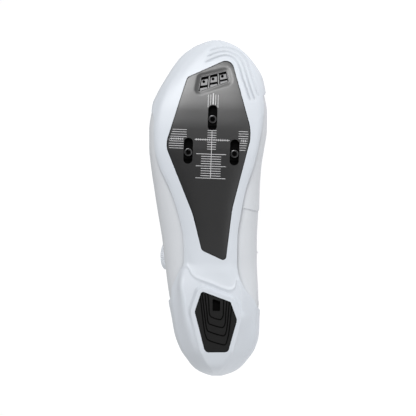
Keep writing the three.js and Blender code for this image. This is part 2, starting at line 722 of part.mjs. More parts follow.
// The tread grooves of the heel pad: each runs down one side, round the bottom and up the other side.
// Columns in shares of length and ballWidth: ends and turns of the two legs.
const grooveRows = table('topOut sideOut topIn sideIn turnOut turnIn legX', [
  [-0.049, -0.029, 0.090, 0.086, 0.173, 0.166, 0.183],
  [-0.073, -0.041, 0.115, 0.102, 0.152, 0.142, 0.160],
  [-0.096, -0.050, 0.138, 0.111, 0.130, 0.117, 0.138],
  [-0.114, -0.059, 0.161, 0.118, 0.105, 0.090, 0.117],
]);

function grooveStrip(row) {
  const path = new THREE.SplineCurve([
    [0.27, row.topOut - 0.004], [row.legX + 0.035, lerp(row.topOut, row.sideOut, 0.62)],
    [row.legX, row.sideOut], [row.turnOut, row.sideOut + 0.032],
    [lerp(row.turnOut, row.turnIn, 0.7), lerp(row.sideOut, row.sideIn, 0.72)],
    [row.turnIn + 0.004, row.sideIn - 0.016], [row.turnIn + 0.016, row.sideIn],
    [row.legX + 0.03, lerp(row.topIn, row.sideIn, 0.5)], [0.27, row.topIn + 0.01],
  ].map(([x, y]) => new THREE.Vector2(x * length, y * ballWidth)));
  const steps = 12;
  const edge = (side) => Array.from({ length: steps + 1 }, (_, i) => {
    const along = path.getTangent(i / steps);
    const across = new THREE.Vector2(-along.y, along.x).multiplyScalar((side * padGrooveWidth) / 2);
    return path.getPoint(i / steps).add(across);
  });
  return prism([...edge(-1), ...edge(1).reverse()], farDown, padRecess + padGrooveDepth);
}

function makeHeelPad() {
  let pad = prism(outline(padCorners), padRecess, padThickness)
    .subtract(prism(outline(padHoleCorners), farDown, padThickness - 1));
  for (const row of grooveRows) pad = pad.subtract(grooveStrip(row));
  return pad;
}

// The padded collar: the wall thickens towards the top of the ankle
function wallAt(point) {
  const up = smoothstep(point.z, 0.52 * collarHeight, 0.8 * collarHeight);
  const back = 1 - smoothstep(point.x, 0.3 * length, 0.4 * length);
  return lerp(upperWall, collarWall, up * back);
}

// The top line from the heel to the front of the collar, in shares of length and collarHeight
const topLine = [
  [-0.05, 1.000], [0.030, 0.994], [0.060, 0.962], [0.105, 0.890], [0.155, 0.836], [0.210, 0.812],
  [0.262, 0.828], [0.310, 0.890], [0.350, 0.985], [0.385, 1.085], [0.405, 1.200],
];

function collarCut() {
  const line = smoothLine(topLine.map(([x, z]) => [x * length, z * collarHeight]), 30);
  return sidePrism([...line, [line.at(-1)[0], farUp], [line[0][0], farUp]], -farOut, farOut);
}

const throatFront = 0.668;
const throatBack = 0.36;

function throatHalf(x) {
  return (throatWidth / 2) * lerp(1, 0.62, smoothstep(x / length, 0.42, throatFront));
}

function throatCut() {
  const ridge = (x) => last.ridge(atOf(x)) * ballWidth;
  const front = throatFront * length;
  const back = throatBack * length;
  const radius = throatHalf(front) * 0.95;
  return prism(outline([
    [back, ridge(back) - 1.5 * throatHalf(back), 1],
    [lerp(back, front, 0.18), ridge(lerp(back, front, 0.18)) - throatHalf(lerp(back, front, 0.18)), 12],
    [lerp(back, front, 0.5), ridge(lerp(back, front, 0.5)) - throatHalf(lerp(back, front, 0.5)), 60],
    [front, ridge(front) - throatHalf(front), radius],
    [front, ridge(front) + throatHalf(front), radius],
    [lerp(back, front, 0.5), ridge(lerp(back, front, 0.5)) + throatHalf(lerp(back, front, 0.5)), 60],
    [lerp(back, front, 0.18), ridge(lerp(back, front, 0.18)) + throatHalf(lerp(back, front, 0.18)), 12],
    [back, ridge(back) + 1.5 * throatHalf(back), 1],
  ]), 0.55 * instepRise, farUp);
}

// The quarter behind the seam on the inner side lies one step lower than the front, eyestay and collar
const quarterSeam = [
  [0.500, -0.40], [0.4975, 0.16], [0.492, 0.23], [0.491, 0.33], [0.499, 0.42], [0.518, 0.56], [0.532, 0.68],
  [0.515, 0.760], [0.460, 0.800], [0.400, 0.800], [0.340, 0.745], [0.290, 0.660], [0.250, 0.600],
  [0.215, 0.520], [0.196, 0.400], [0.190, 0.200], [0.190, -0.40],
];

function quarterRecess() {
  const line = quarterSeam.map(([x, z]) => [x * length, z * instepRise]);
  return sidePrism(line, last.ridge(0.45) * ballWidth, farOut).subtract(lastSolid(-panelStep));
}

function makeUpper() {
  const margin = (side) => (x) => {
    const foot = section(atOf(x)).foot(side);
    return foot - side * lastingMargin;
  };
  const openXs = spread(0.1 * length, 0.9 * length, 14);
  const underside = slab(openXs, (x) => [margin(-1)(x), margin(1)(x)], () => farDown, (x) => bedAt(atOf(x)) + 6);
  return lastSolid(0)
    .subtract(quarterRecess())
    .subtract(lastSolid((point) => -wallAt(point)))
    .subtract(underside)
    .subtract(collarCut())
    .subtract(throatCut());
}

function makeInsole() {
  const xs = spread(-5, length + 5, 14);
  const top = (x) => bedAt(atOf(x)) + upperWall + gap + insoleThickness;
  const bed = slab(xs, () => [-farOut, farOut], () => farDown, top);
  return lastSolid(-upperWall - gap).intersect(bed);
}

// The tongue fills the throat from below and stands over the collar at its top
function makeTongue() {
  const ridge = (x) => last.ridge(atOf(x)) * ballWidth;
  const [back, middle, front] = [0.338, 0.5, 0.715].map((share) => share * length);
  const half = tongueWidth / 2;
  const plan = outline([
    [back, ridge(back) - 0.8 * half, 12],
    [middle, ridge(middle) - half, 60],
    [front, ridge(front) - 0.7 * half, 10],
    [front, ridge(front) + 0.7 * half, 10],
    [middle, ridge(middle) + half, 60],
    [back, ridge(back) + 0.8 * half, 12],
  ]);
  return lastSolid((point) => -wallAt(point) - gap)
    .subtract(lastSolid((point) => -wallAt(point) - gap - tongueWall))
    .intersect(prism(plan, 0.55 * instepRise, farUp));
}

// The dial stands on the outer side below the collar's front, square to the skin
const dialPlace = { at: 0.352, degrees: 36 };
const dialCentre = skinPoint(dialPlace.at, -1, dialPlace.degrees);
const dialAxis = skinNormal(dialPlace.at, -1, dialPlace.degrees);

function onDialAxis(geometry, height) {
  const turnTo = new THREE.Quaternion().setFromUnitVectors(new THREE.Vector3(0, 0, 1), dialAxis);
  const place = dialCentre.clone().addScaledVector(dialAxis, height);
  return solidOf(geometry.applyQuaternion(turnTo).translate(...place.toArray()));
}

function makeDialBase() {
  const sunk = 8;
  const high = dialBaseHeight + gap;
  const geometry = new THREE.CylinderGeometry(dialBaseDiameter / 2 - 0.8, dialBaseDiameter / 2, high + sunk, 28);
  return onDialAxis(geometry.rotateX(Math.PI / 2), (high - sunk) / 2).subtract(lastSolid(gap));
}

function makeDialKnob() {
  const radius = dialDiameter / 2;
  const points = Array.from({ length: dialRidges * 2 }, (_, i) => {
    const angle = (Math.PI * i) / dialRidges;
    const ridged = radius - 0.5 - (i % 2) * ridgeDepth;
    return new THREE.Vector2(ridged * Math.cos(angle), ridged * Math.sin(angle));
  });
  const bevel = { bevelThickness: 1, bevelSize: 0.5, bevelOffset: 0, bevelSegments: 1 };
  const geometry = new THREE.ExtrudeGeometry(new THREE.Shape(points), { depth: dialHeight - 2, ...bevel });
  const dish = new THREE.CylinderGeometry(radius - dialRim, radius - dialRim - ridgeDepth, 1.6, 24).rotateX(Math.PI / 2);
  const bottom = dialBaseHeight + 2 * gap;
  return onDialAxis(geometry, bottom + 1).subtract(onDialAxis(dish, bottom + dialHeight));
}

// Guides along the throat, in turn on the inner and the outer side; the lace turns round in each
const guidePlaces = [0.432, 0.476, 0.520, 0.564, 0.608, 0.650].map((share, i) => {
  const x = share * length;
  const side = i % 2 === 0 ? 1 : -1;
  return { x, side, edge: last.ridge(atOf(x)) * ballWidth + side * (throatHalf(x) + 1) };
});

const laceHeight = gap + guideHeight / 2;

function lacePath() {
  const over = (x) => [x, last.ridge(atOf(x)) * ballWidth];
  const loops = guidePlaces.slice(0, -1).flatMap(({ x, side, edge }, i) => [
    [x - laceTurn, edge],
    [x - laceTurn, edge + side * 3.2],
    [x, edge + side * (3.2 + laceTurn)],
    [x + laceTurn, edge + side * 3.2],
    [x + laceTurn, edge],
    over((x + guidePlaces[i + 1].x) / 2),
  ]);
  const end = guidePlaces.at(-1);
  const tail = [[end.x - laceTurn, end.edge], [end.x - laceTurn, end.edge + end.side * 5]];
  const fromX = dialCentre.x + dialBaseDiameter / 2 + 1.2;
  const toX = guidePlaces[0].x - laceTurn;
  const fromDial = [0, 0.2, 0.4, 0.6, 0.8].map((share) => {
    const at = atOf(lerp(fromX, toX, share));
    const degrees = lerp(dialPlace.degrees, 84, share);
    return skinPoint(at, -1, degrees).addScaledVector(skinNormal(at, -1, degrees), laceHeight);
  });
  return [...fromDial, ...[...loops, ...tail].map(([x, y]) => overSkin(x, y, laceHeight))];
}

const lacePoints = lacePath();

function laceTube(diameter) {
  const section = new THREE.Shape(Array.from({ length: 6 }, (_, i) => {
    const angle = (2 * Math.PI * i) / 6;
    return new THREE.Vector2((diameter / 2) * Math.cos(angle), (diameter / 2) * Math.sin(angle));
  }));
  const path = new THREE.CatmullRomCurve3(lacePoints, false, 'centripetal');
  return solidOf(new THREE.ExtrudeGeometry(section, { steps: 48, extrudePath: path }));
}

function makeGuide({ x, side, edge }) {
  const inner = edge + side * 0.8;
  const outer = edge + side * (0.8 + guideReach);
  const half = guideLength / 2;
  const corners = [[x - half, inner, 1], [x + half, inner, 1], [x + half - 2, outer, 3.5], [x - half + 2, outer, 3.5]];
  const plan = outline(side > 0 ? corners : corners.reverse());
  return lastSolid(gap + guideHeight)
    .subtract(lastSolid(gap))
    .intersect(prism(plan, 0.5 * instepRise, farUp))
    .subtract(laceTube(laceDiameter + 2 * laceClearance));
}

const solids = {
  outsole: makeOutsole(),
  sole_plate: makePlate(),
  vent_insert: makeVent(),
  heel_pad: makeHeelPad(),
  cleat_nut_front: makeNut(bolts.front),
  cleat_nut_outer: makeNut(bolts.outer),
  cleat_nut_inner: makeNut(bolts.inner),
  upper: makeUpper(),
  insole: makeInsole(),
  tongue: makeTongue(),
  dial_base: makeDialBase(),
  dial_knob: makeDialKnob(),
  lace: laceTube(laceDiameter),
};
guidePlaces.forEach((place, i) => {
  solids[`lace_guide_${i + 1}`] = makeGuide(place);
});

// The floor that the shoe comes to rest on when it is laid on its inner side: the face of its hull under
// its middle, taken a little way in so that heel cup, ball and collar have flat spots
function pointsOf(solid) {
  const { vertProperties, numProp } = solid.getMesh();
  return Array.from({ length: vertProperties.length / numProp }, (_, i) => {
    return new THREE.Vector3().fromArray(vertProperties, i * numProp);
  });
}

function restingFace() {
  const outside = [...pointsOf(solids.outsole), ...pointsOf(solids.upper), ...pointsOf(solids.tongue)];
  const hull = new ConvexHull().setFromPoints(outside);
  const middle = new THREE.Vector3(0.47 * length, last.ridge(0.45) * ballWidth, 0.5 * instepRise);
  let normal = new THREE.Vector3(0, 1, 0);
  let face = null;
  for (let i = 0; i < 12; i++) {
    const reach = (candidate) => {
      const facing = candidate.normal.dot(normal);
      return facing > 1e-6 ? (candidate.constant - candidate.normal.dot(middle)) / facing : Infinity;
    };
    face = hull.faces.reduce((best, candidate) => (reach(candidate) < reach(best) ? candidate : best));
    normal = face.normal.clone();
  }
  return { normal, distance: face.constant - floorFlat };
}

const rest = restingFace();

function belowFloor() {
  const size = 4 * length;
  const turnTo = new THREE.Quaternion().setFromUnitVectors(new THREE.Vector3(0, 0, 1), rest.normal);
  const centre = rest.normal.clone().multiplyScalar(rest.distance + size / 2);
  return solidOf(new THREE.BoxGeometry(size, size, size).applyQuaternion(turnTo).translate(...centre.toArray()));
}

const floor = belowFloor();
solids.outsole = solids.outsole.subtract(floor);
solids.upper = solids.upper.subtract(floor);

const finish = {
  white_shell: { color: 0xdfe3ec, roughness: 0.55, metalness: 0 },
  white_upper: { color: 0xdcdee3, roughness: 0.6, metalness: 0 },
  composite: { color: 0x3a3b3d, roughness: 0.45, metalness: 0.1 },
  rubber: { color: 0x1f2021, roughness: 0.75, metalness: 0 },
  nut_metal: { color: 0x26272a, roughness: 0.4, metalness: 0.8 },
  grille: { color: 0x77797c, roughness: 0.6, metalness: 0 },
  lining: { color: 0x9a9da3, roughness: 0.9, metalness: 0 },
  dial: { color: 0xe2e4e8, roughness: 0.4, metalness: 0 },
  cord: { color: 0xd0d2d6, roughness: 0.7, metalness: 0 },
};
const finishOf = {
  outsole: 'white_shell',
  sole_plate: 'composite',
  vent_insert: 'grille',
  heel_pad: 'rubber',
  cleat_nut_front: 'nut_metal',
  cleat_nut_outer: 'nut_metal',
  cleat_nut_inner: 'nut_metal',
  upper: 'white_upper',
  insole: 'lining',
  tongue: 'white_upper',
  dial_base: 'dial',
  dial_knob: 'dial',
  lace: 'cord',
};

function meshOf(name, solid) {
  const { vertProperties, triVerts } = solid.getMesh();
  const geometry = new THREE.BufferGeometry();
  geometry.setAttribute('position', new THREE.BufferAttribute(new Float32Array(vertProperties), 3));
  geometry.setIndex(new THREE.BufferAttribute(new Uint32Array(triVerts), 1));
  geometry.computeVertexNormals();
  const material = new THREE.MeshStandardMaterial(finish[finishOf[name] ?? 'dial']);
  const mesh = new THREE.Mesh(geometry, material);
  mesh.name = name;
  return mesh;
}

const standing = new THREE.Group();
for (const [name, solid] of Object.entries(solids)) standing.add(meshOf(name, solid));

// Laid down: the resting face looks down, the toe along +X and the sole along -Y
const onSide = new THREE.Quaternion().setFromAxisAngle(new THREE.Vector3(1, 0, 0), -Math.PI / 2);
const settled = new THREE.Quaternion()
  .setFromUnitVectors(rest.normal.clone().applyQuaternion(onSide), new THREE.Vector3(0, 0, -1))
  .multiply(onSide);
const toeWay = new THREE.Vector3(1, 0, 0).applyQuaternion(settled);
const square = new THREE.Quaternion().setFromAxisAngle(new THREE.Vector3(0, 0, 1), -Math.atan2(toeWay.y, toeWay.x));
standing.quaternion.copy(square.multiply(settled));

const shoe = new THREE.Group();
shoe.add(standing);
shoe.updateMatrixWorld(true);
const box = new THREE.Box3().setFromObject(shoe, true);
const centre = box.getCenter(new THREE.Vector3());
standing.position.set(-centre.x, -centre.y, -box.min.z);

export default shoe;
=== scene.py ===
import math

import bpy
import numpy as np
from mathutils import Matrix, Vector, kdtree


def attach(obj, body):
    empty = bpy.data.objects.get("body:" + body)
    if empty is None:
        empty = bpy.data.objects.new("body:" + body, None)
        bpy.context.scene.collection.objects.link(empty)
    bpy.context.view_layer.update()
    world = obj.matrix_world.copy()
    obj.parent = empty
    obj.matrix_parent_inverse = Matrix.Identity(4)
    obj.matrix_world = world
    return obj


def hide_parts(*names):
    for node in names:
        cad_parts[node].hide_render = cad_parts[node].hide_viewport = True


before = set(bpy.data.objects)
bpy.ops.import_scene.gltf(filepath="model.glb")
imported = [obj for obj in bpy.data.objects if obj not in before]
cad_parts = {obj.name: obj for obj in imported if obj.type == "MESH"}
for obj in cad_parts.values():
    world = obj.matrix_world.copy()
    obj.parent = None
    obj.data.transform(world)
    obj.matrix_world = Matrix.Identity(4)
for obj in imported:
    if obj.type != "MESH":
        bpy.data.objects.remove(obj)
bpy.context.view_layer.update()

# Sizes in millimetres, in the standing shoe: x from heel to toe, y inwards, z up
LENGTH, BALL, LIFT, SPRING, RISE = 280.0, 98.8, 16.5, 25.6, 77.0
WRAP, GAP, WALL, COLLAR_WALL, COLLAR = 1.8, 0.3, 1.8, 5.5, 86.0
LAST = LENGTH - 2 * WRAP
DEEP, HALFWAY, HIGH = -60.0, 42.0, 220.0  # heights below, halfway up and above the whole shoe
ASIDE = 120.0  # past the shoe on either side

# The laid shoe in the row frame, as part.mjs places it
PLACE = Matrix((
    (0.999593, 0.02829, 0.00358, -140.139789),
    (0, -0.125546, 0.992088, -51.432565),
    (0.028516, -0.991684, -0.125495, 41.438783),
    (0.0, 0.0, 0.0, 1.0),
))
TURN = np.array(PLACE.to_3x3())
SHIFT = np.array(PLACE.to_translation())


def table(names, rows):
    data = np.array(rows, float)
    return {key: (data[:, 0], data[:, i]) for i, key in enumerate(names.split())}


last = table("at lift spring footOut footIn wideOut wideIn rise belly ridge fullOut fullIn", [
    [0.000, 1.82, 0.00, -0.030, 0.030, -0.030, 0.030, 0.000, 0.200, 0.030, 1.75, 1.75],
    [0.008, 1.39, 0.00, 0.030, 0.090, 0.084, 0.147, 0.455, 0.200, 0.030, 1.75, 1.75],
    [0.030, 1.15, 0.00, 0.111, 0.182, 0.176, 0.247, 0.818, 0.190, 0.028, 1.75, 1.75],
    [0.066, 1.03, 0.00, 0.192, 0.258, 0.252, 0.329, 1.117, 0.174, 0.020, 1.75, 1.75],
    [0.120, 1.00, 0.00, 0.248, 0.294, 0.310, 0.373, 1.370, 0.157, 0.014, 1.75, 1.75],
    [0.174, 1.00, 0.00, 0.268, 0.299, 0.338, 0.380, 1.474, 0.155, 0.010, 1.75, 1.75],
    [0.229, 1.00, 0.00, 0.268, 0.273, 0.370, 0.394, 1.461, 0.160, 0.005, 1.78, 1.78],
    [0.283, 0.98, 0.00, 0.253, 0.228, 0.392, 0.387, 1.361, 0.180, 0.000, 1.80, 1.80],
    [0.337, 0.93, 0.00, 0.231, 0.188, 0.409, 0.381, 1.243, 0.206, 0.000, 1.82, 1.82],
    [0.410, 0.82, 0.00, 0.237, 0.191, 0.434, 0.382, 1.109, 0.234, 0.000, 1.85, 1.90],
    [0.482, 0.70, 0.00, 0.279, 0.221, 0.467, 0.392, 1.000, 0.252, 0.005, 1.86, 1.95],
    [0.554, 0.58, 0.00, 0.346, 0.261, 0.498, 0.397, 0.908, 0.257, 0.020, 1.88, 2.00],
    [0.627, 0.49, 0.00, 0.437, 0.330, 0.527, 0.411, 0.827, 0.259, 0.040, 1.90, 2.10],
    [0.681, 0.455, 0.00, 0.474, 0.366, 0.541, 0.435, 0.770, 0.258, 0.055, 1.92, 2.20],
    [0.735, 0.45, 0.027, 0.482, 0.390, 0.541, 0.457, 0.710, 0.260, 0.070, 1.95, 2.25],
    [0.789, 0.45, 0.094, 0.466, 0.405, 0.520, 0.458, 0.645, 0.262, 0.080, 2.00, 2.30],
    [0.844, 0.45, 0.215, 0.415, 0.395, 0.457, 0.431, 0.568, 0.265, 0.085, 2.05, 2.30],
    [0.891, 0.45, 0.352, 0.339, 0.354, 0.382, 0.404, 0.483, 0.274, 0.080, 2.10, 2.25],
    [0.927, 0.45, 0.484, 0.268, 0.294, 0.318, 0.349, 0.415, 0.283, 0.070, 2.10, 2.20],
    [0.956, 0.45, 0.609, 0.192, 0.223, 0.253, 0.285, 0.340, 0.298, 0.058, 2.10, 2.15],
    [0.978, 0.45, 0.727, 0.111, 0.152, 0.170, 0.215, 0.255, 0.315, 0.045, 2.10, 2.10],
    [0.992, 0.45, 0.840, 0.030, 0.081, 0.077, 0.136, 0.160, 0.320, 0.036, 2.05, 2.05],
    [1.000, 0.45, 1.000, -0.030, 0.030, -0.030, 0.030, 0.000, 0.320, 0.030, 2.00, 2.00],
])
sole = table("at lift spring edgeOut edgeIn edgeRise", [
    [0.000, 1.82, 0.00, -0.030, 0.030, 0.00],
    [0.008, 0.75, 0.00, 0.000, 0.060, 0.15],
    [0.030, 0.28, 0.00, 0.070, 0.135, 0.24],
    [0.066, 0.06, 0.00, 0.150, 0.200, 0.28],
    [0.120, 0.02, 0.00, 0.210, 0.238, 0.26],
    [0.174, 0.13, 0.00, 0.250, 0.262, 0.20],
    [0.229, 0.26, 0.00, 0.272, 0.256, 0.14],
    [0.265, 0.35, 0.00, 0.290, 0.238, 0.14],
    [0.300, 0.44, 0.00, 0.275, 0.205, 0.17],
    [0.337, 0.52, 0.00, 0.236, 0.194, 0.19],
    [0.410, 0.46, 0.00, 0.242, 0.197, 0.19],
    [0.482, 0.35, 0.00, 0.284, 0.226, 0.18],
    [0.554, 0.21, 0.00, 0.351, 0.266, 0.17],
    [0.627, 0.07, 0.00, 0.442, 0.335, 0.16],
    [0.681, 0.00, 0.002, 0.479, 0.371, 0.16],
    [0.735, 0.00, 0.015, 0.487, 0.395, 0.17],
    [0.789, 0.00, 0.073, 0.467, 0.405, 0.18],
    [0.844, 0.01, 0.181, 0.410, 0.388, 0.20],
    [0.891, 0.02, 0.320, 0.330, 0.345, 0.22],
    [0.927, 0.02, 0.456, 0.258, 0.284, 0.23],
    [0.956, 0.03, 0.592, 0.182, 0.213, 0.22],
    [0.978, 0.08, 0.720, 0.100, 0.142, 0.18],
    [0.992, 0.20, 0.840, 0.020, 0.075, 0.10],
    [1.000, 0.45, 1.000, -0.030, 0.030, 0.00],
])
rim = table("at rimOut rimIn", [
    [0.000, 0.52, 0.52],
    [0.030, 1.12, 1.12],
    [0.120, 1.20, 1.20],
    [0.160, 1.14, 1.00],
    [0.195, 0.95, 0.68],
    [0.222, 0.72, 0.46],
    [0.250, 0.46, 0.28],
    [0.283, 0.26, 0.16],
    [0.310, 0.15, 0.10],
    [0.337, 0.08, 0.06],
    [0.681, 0.05, 0.05],
    [0.755, 0.05, 0.05],
    [0.800, 0.22, 0.06],
    [0.834, 0.66, 0.08],
    [0.842, 0.72, 0.14],
    [0.852, 0.80, 0.74],
    [0.880, 0.96, 0.92],
    [0.920, 0.90, 0.90],
    [0.960, 0.84, 0.84],
    [1.000, 0.60, 0.60],
])

trim = table("at trimOut trimIn", [
    [0, 0.400, 0.400],
    [0.155, 0.400, 0.400],
    [0.190, 0.300, 0.135],
    [0.222, 0.098, 0.088],
    [0.257, 0.062, 0.023],
    [0.281, 0.036, 0.010],
    [0.308, 0.018, 0.009],
    [0.335, 0.010, 0.009],
    [0.482, 0.011, 0.010],
    [0.681, 0.014, 0.010],
    [0.75, 0.014, 0.018],
    [0.787, 0.045, 0.024],
    [0.8, 0.300, 0.027],
    [0.8385, 0.400, 0.029],
    [0.8485, 0.400, 0.300],
    [1, 0.400, 0.400],
])


def turn(at):
    return np.arccos(1 - 2 * np.clip(at, 0, 1)) / np.pi


def read(rows, key, at):
    """A smooth curve through one column that never swings past its rows."""
    x, y = turn(rows[key][0]), rows[key][1]
    h, d = np.diff(x), np.diff(y) / np.diff(x)
    tangent = np.zeros(len(x))
    tangent[0], tangent[-1] = d[0], d[-1]
    same = d[:-1] * d[1:] > 0
    near, far = 2 * h[1:] + h[:-1], h[1:] + 2 * h[:-1]
    with np.errstate(divide="ignore", invalid="ignore"):
        mean = (near + far) / (near / d[:-1] + far / d[1:])
    tangent[1:-1] = np.where(same, mean, 0)
    u = turn(np.asarray(at, float))
    i = np.clip(np.searchsorted(x, u, side="left") - 1, 0, len(x) - 2)
    step, t = h[i], (u - x[i]) / h[i]
    rest = 1 - t
    return (y[i] * (1 + 2 * t) * rest ** 2 + y[i + 1] * t * t * (3 - 2 * t)
            + step * t * rest * (tangent[i] * rest - tangent[i + 1] * t))


def at_of(x):
    return (np.asarray(x, float) - WRAP) / LAST


def x_of(at):
    return WRAP + np.asarray(at, float) * LAST


def bed(at):
    return read(last, "lift", at) * LIFT + read(last, "spring", at) * SPRING


def sided(rows, key, side, at):
    """One of a pair of columns, for the outer side (below 0) or the inner side."""
    return np.where(np.asarray(side) < 0, read(rows, key + "Out", at), read(rows, key + "In", at))


def smooth(value, low, high):
    t = np.clip((np.asarray(value, float) - low) / (high - low), 0, 1)
    return t * t * (3 - 2 * t)


def lerp(a, b, t):
    return a + (b - a) * t


def skin(at, side, degrees):
    """Points of the last's skin: 90 degrees is the ridge, 0 the widest place, -90 the edge of the bottom."""
    at, side, degrees = np.broadcast_arrays(np.asarray(at, float), side, np.asarray(degrees, float))
    low = bed(at)
    rise = read(last, "rise", at) * RISE
    belly, top = low + rise * read(last, "belly", at), low + rise
    ridge = read(last, "ridge", at) * BALL
    foot, wide = (side * BALL * sided(last, key, side, at) for key in ("foot", "wide"))
    power = 2 / sided(last, "full", side, at)
    cos = np.clip(np.cos(np.radians(degrees)), 0, 1)
    sin = np.sin(np.radians(np.abs(degrees)))
    above = degrees >= 0
    y = np.where(above, lerp(ridge, wide, cos ** power), lerp(foot, wide, cos))
    z = np.where(above, lerp(belly, top, sin ** power), lerp(belly, low, sin))
    return np.stack([x_of(at) + 0 * y, y, z], -1)


def unit(v):
    return v / np.maximum(np.linalg.norm(v, axis=-1, keepdims=True), 1e-9)


def skin_normal(at, side, degrees):
    """Unit normals of the skin, from steps along and around it."""
    along = skin(at + 0.003, side, degrees) - skin(at - 0.003, side, degrees)
    around = skin(at, side, degrees - 1.2) - skin(at, side, degrees + 1.2)
    return unit(np.cross(along, around) * np.asarray(side, float)[..., None])


def skin_over(x, y):
    """The place on the last's skin over a point of the plan, as at, side and degrees."""
    at = at_of(x)
    ridge = read(last, "ridge", at) * BALL
    side = np.where(y < ridge, -1, 1)
    wide = side * BALL * sided(last, "wide", side, at)
    reach = np.clip((y - ridge) / (wide - ridge), 0, 1)
    return at, side, np.degrees(np.arccos(reach ** (sided(last, "full", side, at) / 2)))


def over_skin(x, y, height):
    """A point a height over the skin, square to it."""
    place = skin_over(np.asarray(x, float), np.asarray(y, float))
    return skin(*place) + skin_normal(*place) * np.asarray(height, float)[..., None]


def ridge_at(x):
    return float(read(last, "ridge", at_of(x))) * BALL


def outline(corners, grow=0.0, steps=8):
    """A closed line in the plan, against the clock. A corner is x, y and the radius of its bend."""
    count, points = len(corners), []
    spots = [Vector(c[:2]) for c in corners]
    ways = [(spots[(i + 1) % count] - spots[i]).normalized() for i in range(count)]
    starts = [spots[i] + Vector((ways[i].y, -ways[i].x)) * grow for i in range(count)]
    for i, corner in enumerate(corners):
        before, after = ways[i - 1], ways[i]
        bend = before.x * after.y - before.y * after.x
        gap = starts[i] - starts[i - 1]
        tip = starts[i - 1] + before * ((gap.x * after.y - gap.y * after.x) / bend)
        angle = math.atan2(bend, before.dot(after))
        radius = max(0.05, corner[2] + math.copysign(grow, bend))
        start = tip - before * (radius * math.tan(abs(angle) / 2))
        centre = start + Vector((-before.y, before.x)) * math.copysign(radius, bend)
        for k in range(steps + 1):
            turned = Matrix.Rotation(angle * k / steps, 2) @ (start - centre)
            points.append(tuple(centre + turned))
    return np.array(points)


def sized(corners):
    """Corners given as shares of the length and the ball's width."""
    return [(x * LENGTH, y * BALL, r) for x, y, r in corners]


PLATE = sized([
    (0.3411, 0.1043, 2.5), (0.3736, -0.0941, 4.2), (0.4811, -0.1690, 80), (0.6854, -0.3988, 18),
    (0.8875, -0.2156, 5), (0.9461, 0.1508, 6.7), (0.7207, 0.3249, 36), (0.4961, 0.1589, 60),
])
PAD = sized([
    (0.0714, -0.0648, 3.8), (0.1918, -0.1518, 6.5), (0.2511, -0.0951, 2.1),
    (0.2196, 0.1447, 1.7), (0.1671, 0.1994, 6.5), (0.0718, 0.1235, 3.3),
])
VENT = sized([
    (0.8443, -0.1265, 1.5), (0.8889, -0.1022, 1.5), (0.9082, 0.1154, 1.5), (0.8761, 0.1346, 1.5),
])
PAD_HOLE = sized([
    (0.1932, -0.0042, 0.8), (0.2296, -0.0042, 0.8), (0.2225, 0.0600, 0.8), (0.1932, 0.0600, 0.8),
])


def to_piece(a, b, x, y):
    """Distance to the straight line from a to b, and the share of it at the nearest place."""
    d = b - a
    t = np.clip(((x - a[0]) * d[0] + (y - a[1]) * d[1]) / max(d @ d, 1e-12), 0, 1)
    return np.hypot(x - a[0] - d[0] * t, y - a[1] - d[1] * t), t


def inside(points, x, y):
    """Distance to a closed outline, positive inside."""
    x, y = np.broadcast_arrays(x, y)
    least = np.full(np.shape(x), 1e9)
    covered = np.zeros(np.shape(x), bool)
    for a, b in zip(points, np.roll(points, -1, 0)):
        least = np.minimum(least, to_piece(a, b, x, y)[0])
        if a[1] != b[1]:
            covered ^= ((a[1] > y) != (b[1] > y)) & (x < a[0] + (y - a[1]) * (b[0] - a[0]) / (b[1] - a[1]))
    return np.where(covered, least, -least)


def line_distance(points, x, y):
    """Distance to an open line, and how far along it the nearest place is, from 0 to 1."""
    points = np.array(points, float)
    lengths = np.hypot(*np.diff(points, axis=0).T)
    starts = np.concatenate([[0], np.cumsum(lengths)])
    best, along = np.full(np.shape(x), 1e9), np.zeros(np.shape(x))
    for i, (a, b) in enumerate(zip(points, points[1:])):
        dist, t = to_piece(a, b, x, y)
        closer = dist < best
        best = np.where(closer, dist, best)
        along = np.where(closer, (starts[i] + t * lengths[i]) / starts[-1], along)
    return best, along


CROSS_RIB = np.array([
    [-0.215, 0.327], [-0.185, 0.306], [-0.145, 0.293], [-0.074, 0.283], [0.003, 0.273],
    [0.066, 0.263], [0.130, 0.256], [0.165, 0.258], [0.190, 0.267], [0.203, 0.285],
])
TREAD = outline(PAD, 3.4)
RIB_HIGH, HEEL_HOLLOW, EDGE_RIB_AT = 0.8, 0.2, 0.94


def hill(distance, width):
    """1 in the middle, falling off to both sides."""
    return np.exp(-((distance / width) ** 2))


def sole_bottom(x, y):
    """Height of the sole's underside, with the heel's ribs and the level seat of its pad."""
    x, y = np.broadcast_arrays(np.asarray(x, float), np.asarray(y, float))
    at = at_of(x)
    base = read(sole, "lift", at) * LIFT + read(sole, "spring", at) * SPRING
    edge = BALL * np.where(y < 0, -1, 1) * sided(sole, "edge", y, at)
    share = np.where(np.abs(edge) < 1, 0, np.clip(y / np.where(np.abs(edge) < 1, 1, edge), 0, 1))
    rounded = base + read(sole, "edgeRise", at) * LIFT * share ** 5
    tread = smooth(inside(TREAD, x, y), -2.6, 0)
    reach = x / LENGTH
    along = smooth(reach, 0.13, 0.18) * (1 - smooth(reach, 0.26, 0.31))
    edge_line = RIB_HIGH * along * hill(np.abs(y) - EDGE_RIB_AT * np.abs(edge), 1.9)
    ahead = x - np.interp(y / BALL, *CROSS_RIB.T) * LENGTH
    across, hollow = RIB_HIGH * hill(ahead, 1.4), HEEL_HOLLOW * hill(ahead - 7, 5.6)
    shaped = rounded - edge_line - across + hollow
    level = np.minimum(shaped, base * (1 - smooth(reach, 0.05, 0.09)))
    heel = lerp(shaped, level, tread)
    return np.where(x > 0.327 * LENGTH + 21, rounded, heel)


